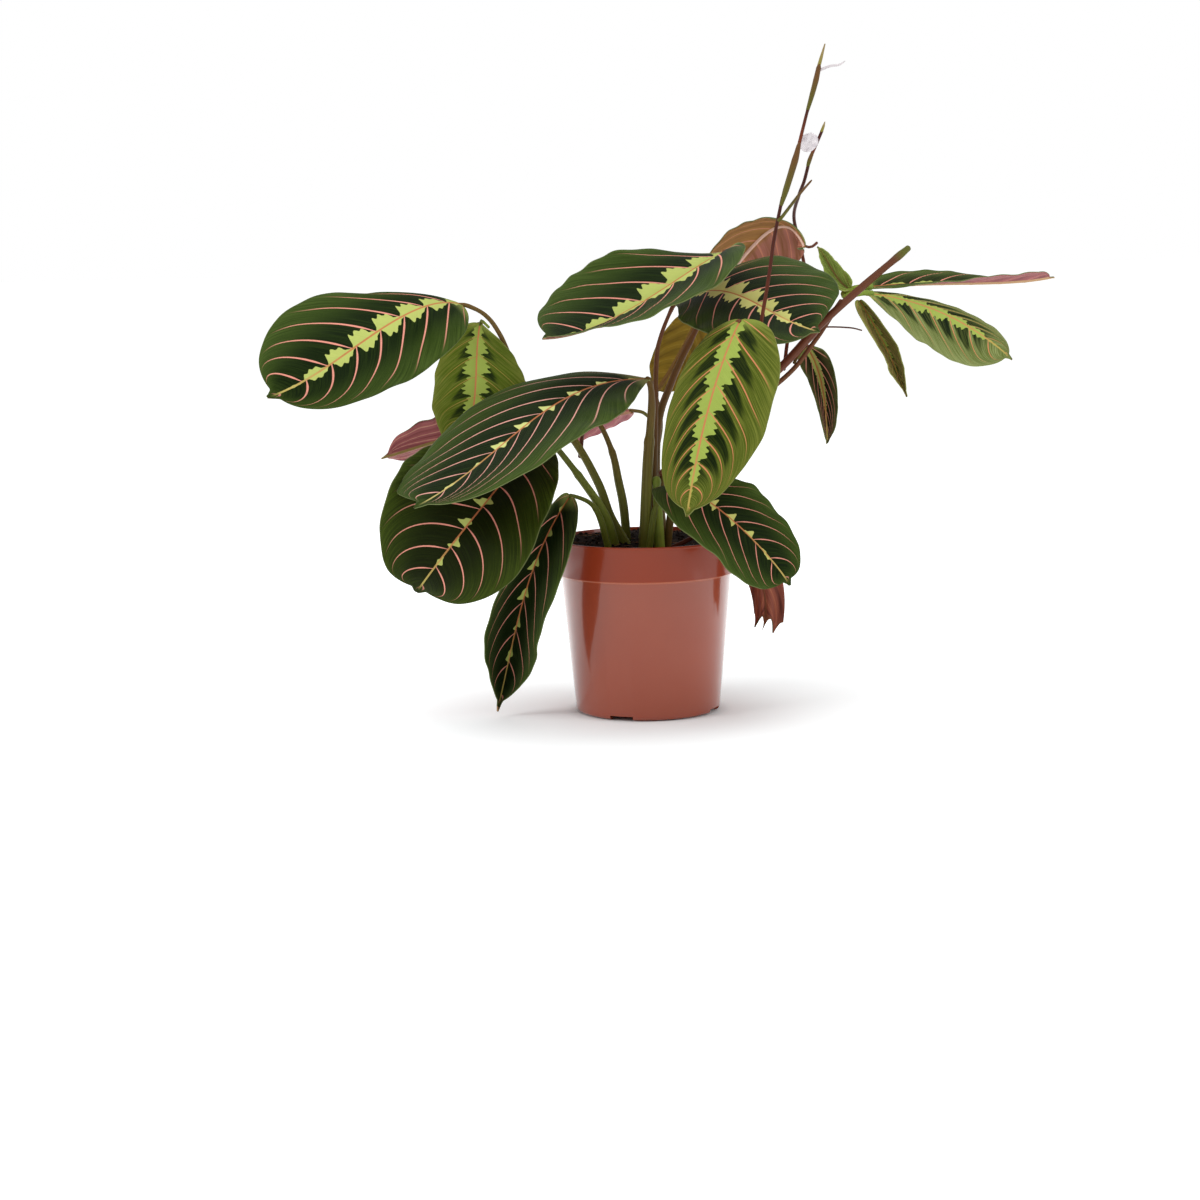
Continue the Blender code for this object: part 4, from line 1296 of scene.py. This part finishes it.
def rolled_bract(angle, share):
    """A bract rolled round its stalk: one edge laps over the other and its end is cut slantwise."""
    lap = 0.16 * max(0.0, cos(0.5 * (angle - pi))) ** 8
    slant = 1.8 * cos(angle) * max(0.0, (share - 0.75) / 0.25) ** 2
    return 1.0 + lap, slant


stalk(
    "flower_wire_front", "flower_stalk_front", "stalk_purple", wire_skin,
    [
        (63, -58, 205), (69, -69, 232), (74, -72, 262), (78.6, -67, 286), (82.6, -58, 308),
        (87.1, -54, 328),
    ],
    (2.5, 2.2), shape=plain, grow_to=(88.6, -53, 334),
)
stalk(
    "lower_bract_front", "bract_front_lower", "bract", bract_skin,
    [(87.4, -54, 329), (90.8, -52, 338.5), (97, -48, 357), (99.4, -46, 365.6)],
    (2.4, 3.9, 4.3, 2.8), shape=rolled_bract,
)
stalk(
    "side_bract_front", "bract_front_side", "bract", bract_skin,
    [
        (85.3, -55.6, 319.5), (87.2, -55.8, 321), (93.7, -50, 328.6), (100.6, -44, 336.7),
        (107.2, -38, 343.5),
    ],
    (2.4, 2.2, 2.0, 1.8, 1.3), shape=rolled_bract,
)
stalk(
    "flower_wire_front_middle", "flower_stalk_front_middle", "stalk_purple", wire_skin,
    [(99.7, -45.6, 366.4), (102.6, -43, 377), (105.4, -41, 387)],
    (2.2, 2.0), shape=plain, grow_to=(107, -39.6, 391),
)
stalk(
    "upper_bract_front", "bract_front_upper", "bract", bract_skin,
    [(105.7, -40.6, 388), (108.8, -38, 397.5), (111.6, -36, 407), (113.3, -35, 414.3)],
    (2.2, 3.2, 3.6, 3.0), shape=rolled_bract,
)
stalk(
    "tip_of_front_flower", "flower_tip_front", "bract", tip_skin,
    [(112.8, -35.2, 413), (115, -34, 420.5), (117.6, -33, 429.2)],
    (2.4, 2.1, 0.8), shape=plain,
)
stalk(
    "side_petal_front", "petal_front_side", "petal", petal_skin,
    [(113.8, -34.6, 412.8), (120.4, -36, 415.3), (126, -38, 415.8), (129.6, -39, 418)],
    (1.8, 1.6, 1.4, 0.6), shape=plain,
)
petal_face = Finish("petal_face", 0.5, Specular_IOR_Level=0.15)
petal_face.feed("Base Color", petal_face.blend(
    petal_face.noise(petal_face.place(), 300.0, 2.0).ramp(0.35, 0.65), (196, 188, 192), (220, 214, 216)
))
leaf(
    "petal_of_front_flower", "petal_front", "petal", petal_face.material, petal_face.material,
    [(101.0, -42.6, 364.0), (103.8, -42, 365.8), (106.3, -42, 369), (107.8, -41.5, 374.4)],
    (6, 5.5), (0, 10), (0, 10), veins=2.0, ruffle=0.2, relief=0.1, seed=2.0, rows=20, columns=12,
    thickness=0.3, ribbed=False,
)
stalk(
    "flower_wire_back", "flower_stalk_back", "stalk_purple", wire_skin,
    [
        (92, -7.5, 224), (98, 14, 250), (111, 50, 278), (110, 62, 300), (104, 50, 322),
        (105.5, 27, 336.5), (107.8, 14, 345), (110.1, 9, 354.9),
    ],
    (2.5, 2.2), shape=plain,
)
stalk(
    "bract_of_back_flower", "bract_back", "bract", bract_skin,
    [(110.0, 9.1, 355.0), (111, 8.8, 358.4), (112.4, 8.5, 362.0)],
    (2.3, 2.8, 2.4), shape=rolled_bract,
)
stalk(
    "flower_wire_back_upper", "flower_stalk_back_upper", "stalk_purple", wire_skin,
    [(111.8, 8.6, 360.6), (114.6, 8, 367), (119.1, 6.5, 377.1)],
    (2.3, 2.0), shape=plain,
)
stalk(
    "tip_of_back_flower", "flower_tip_back", "bract", tip_skin,
    [(118.8, 6.6, 376.6), (120.1, 6.2, 380.2), (121, 5.8, 382.9)],
    (2.1, 1.7, 0.6), shape=plain,
)
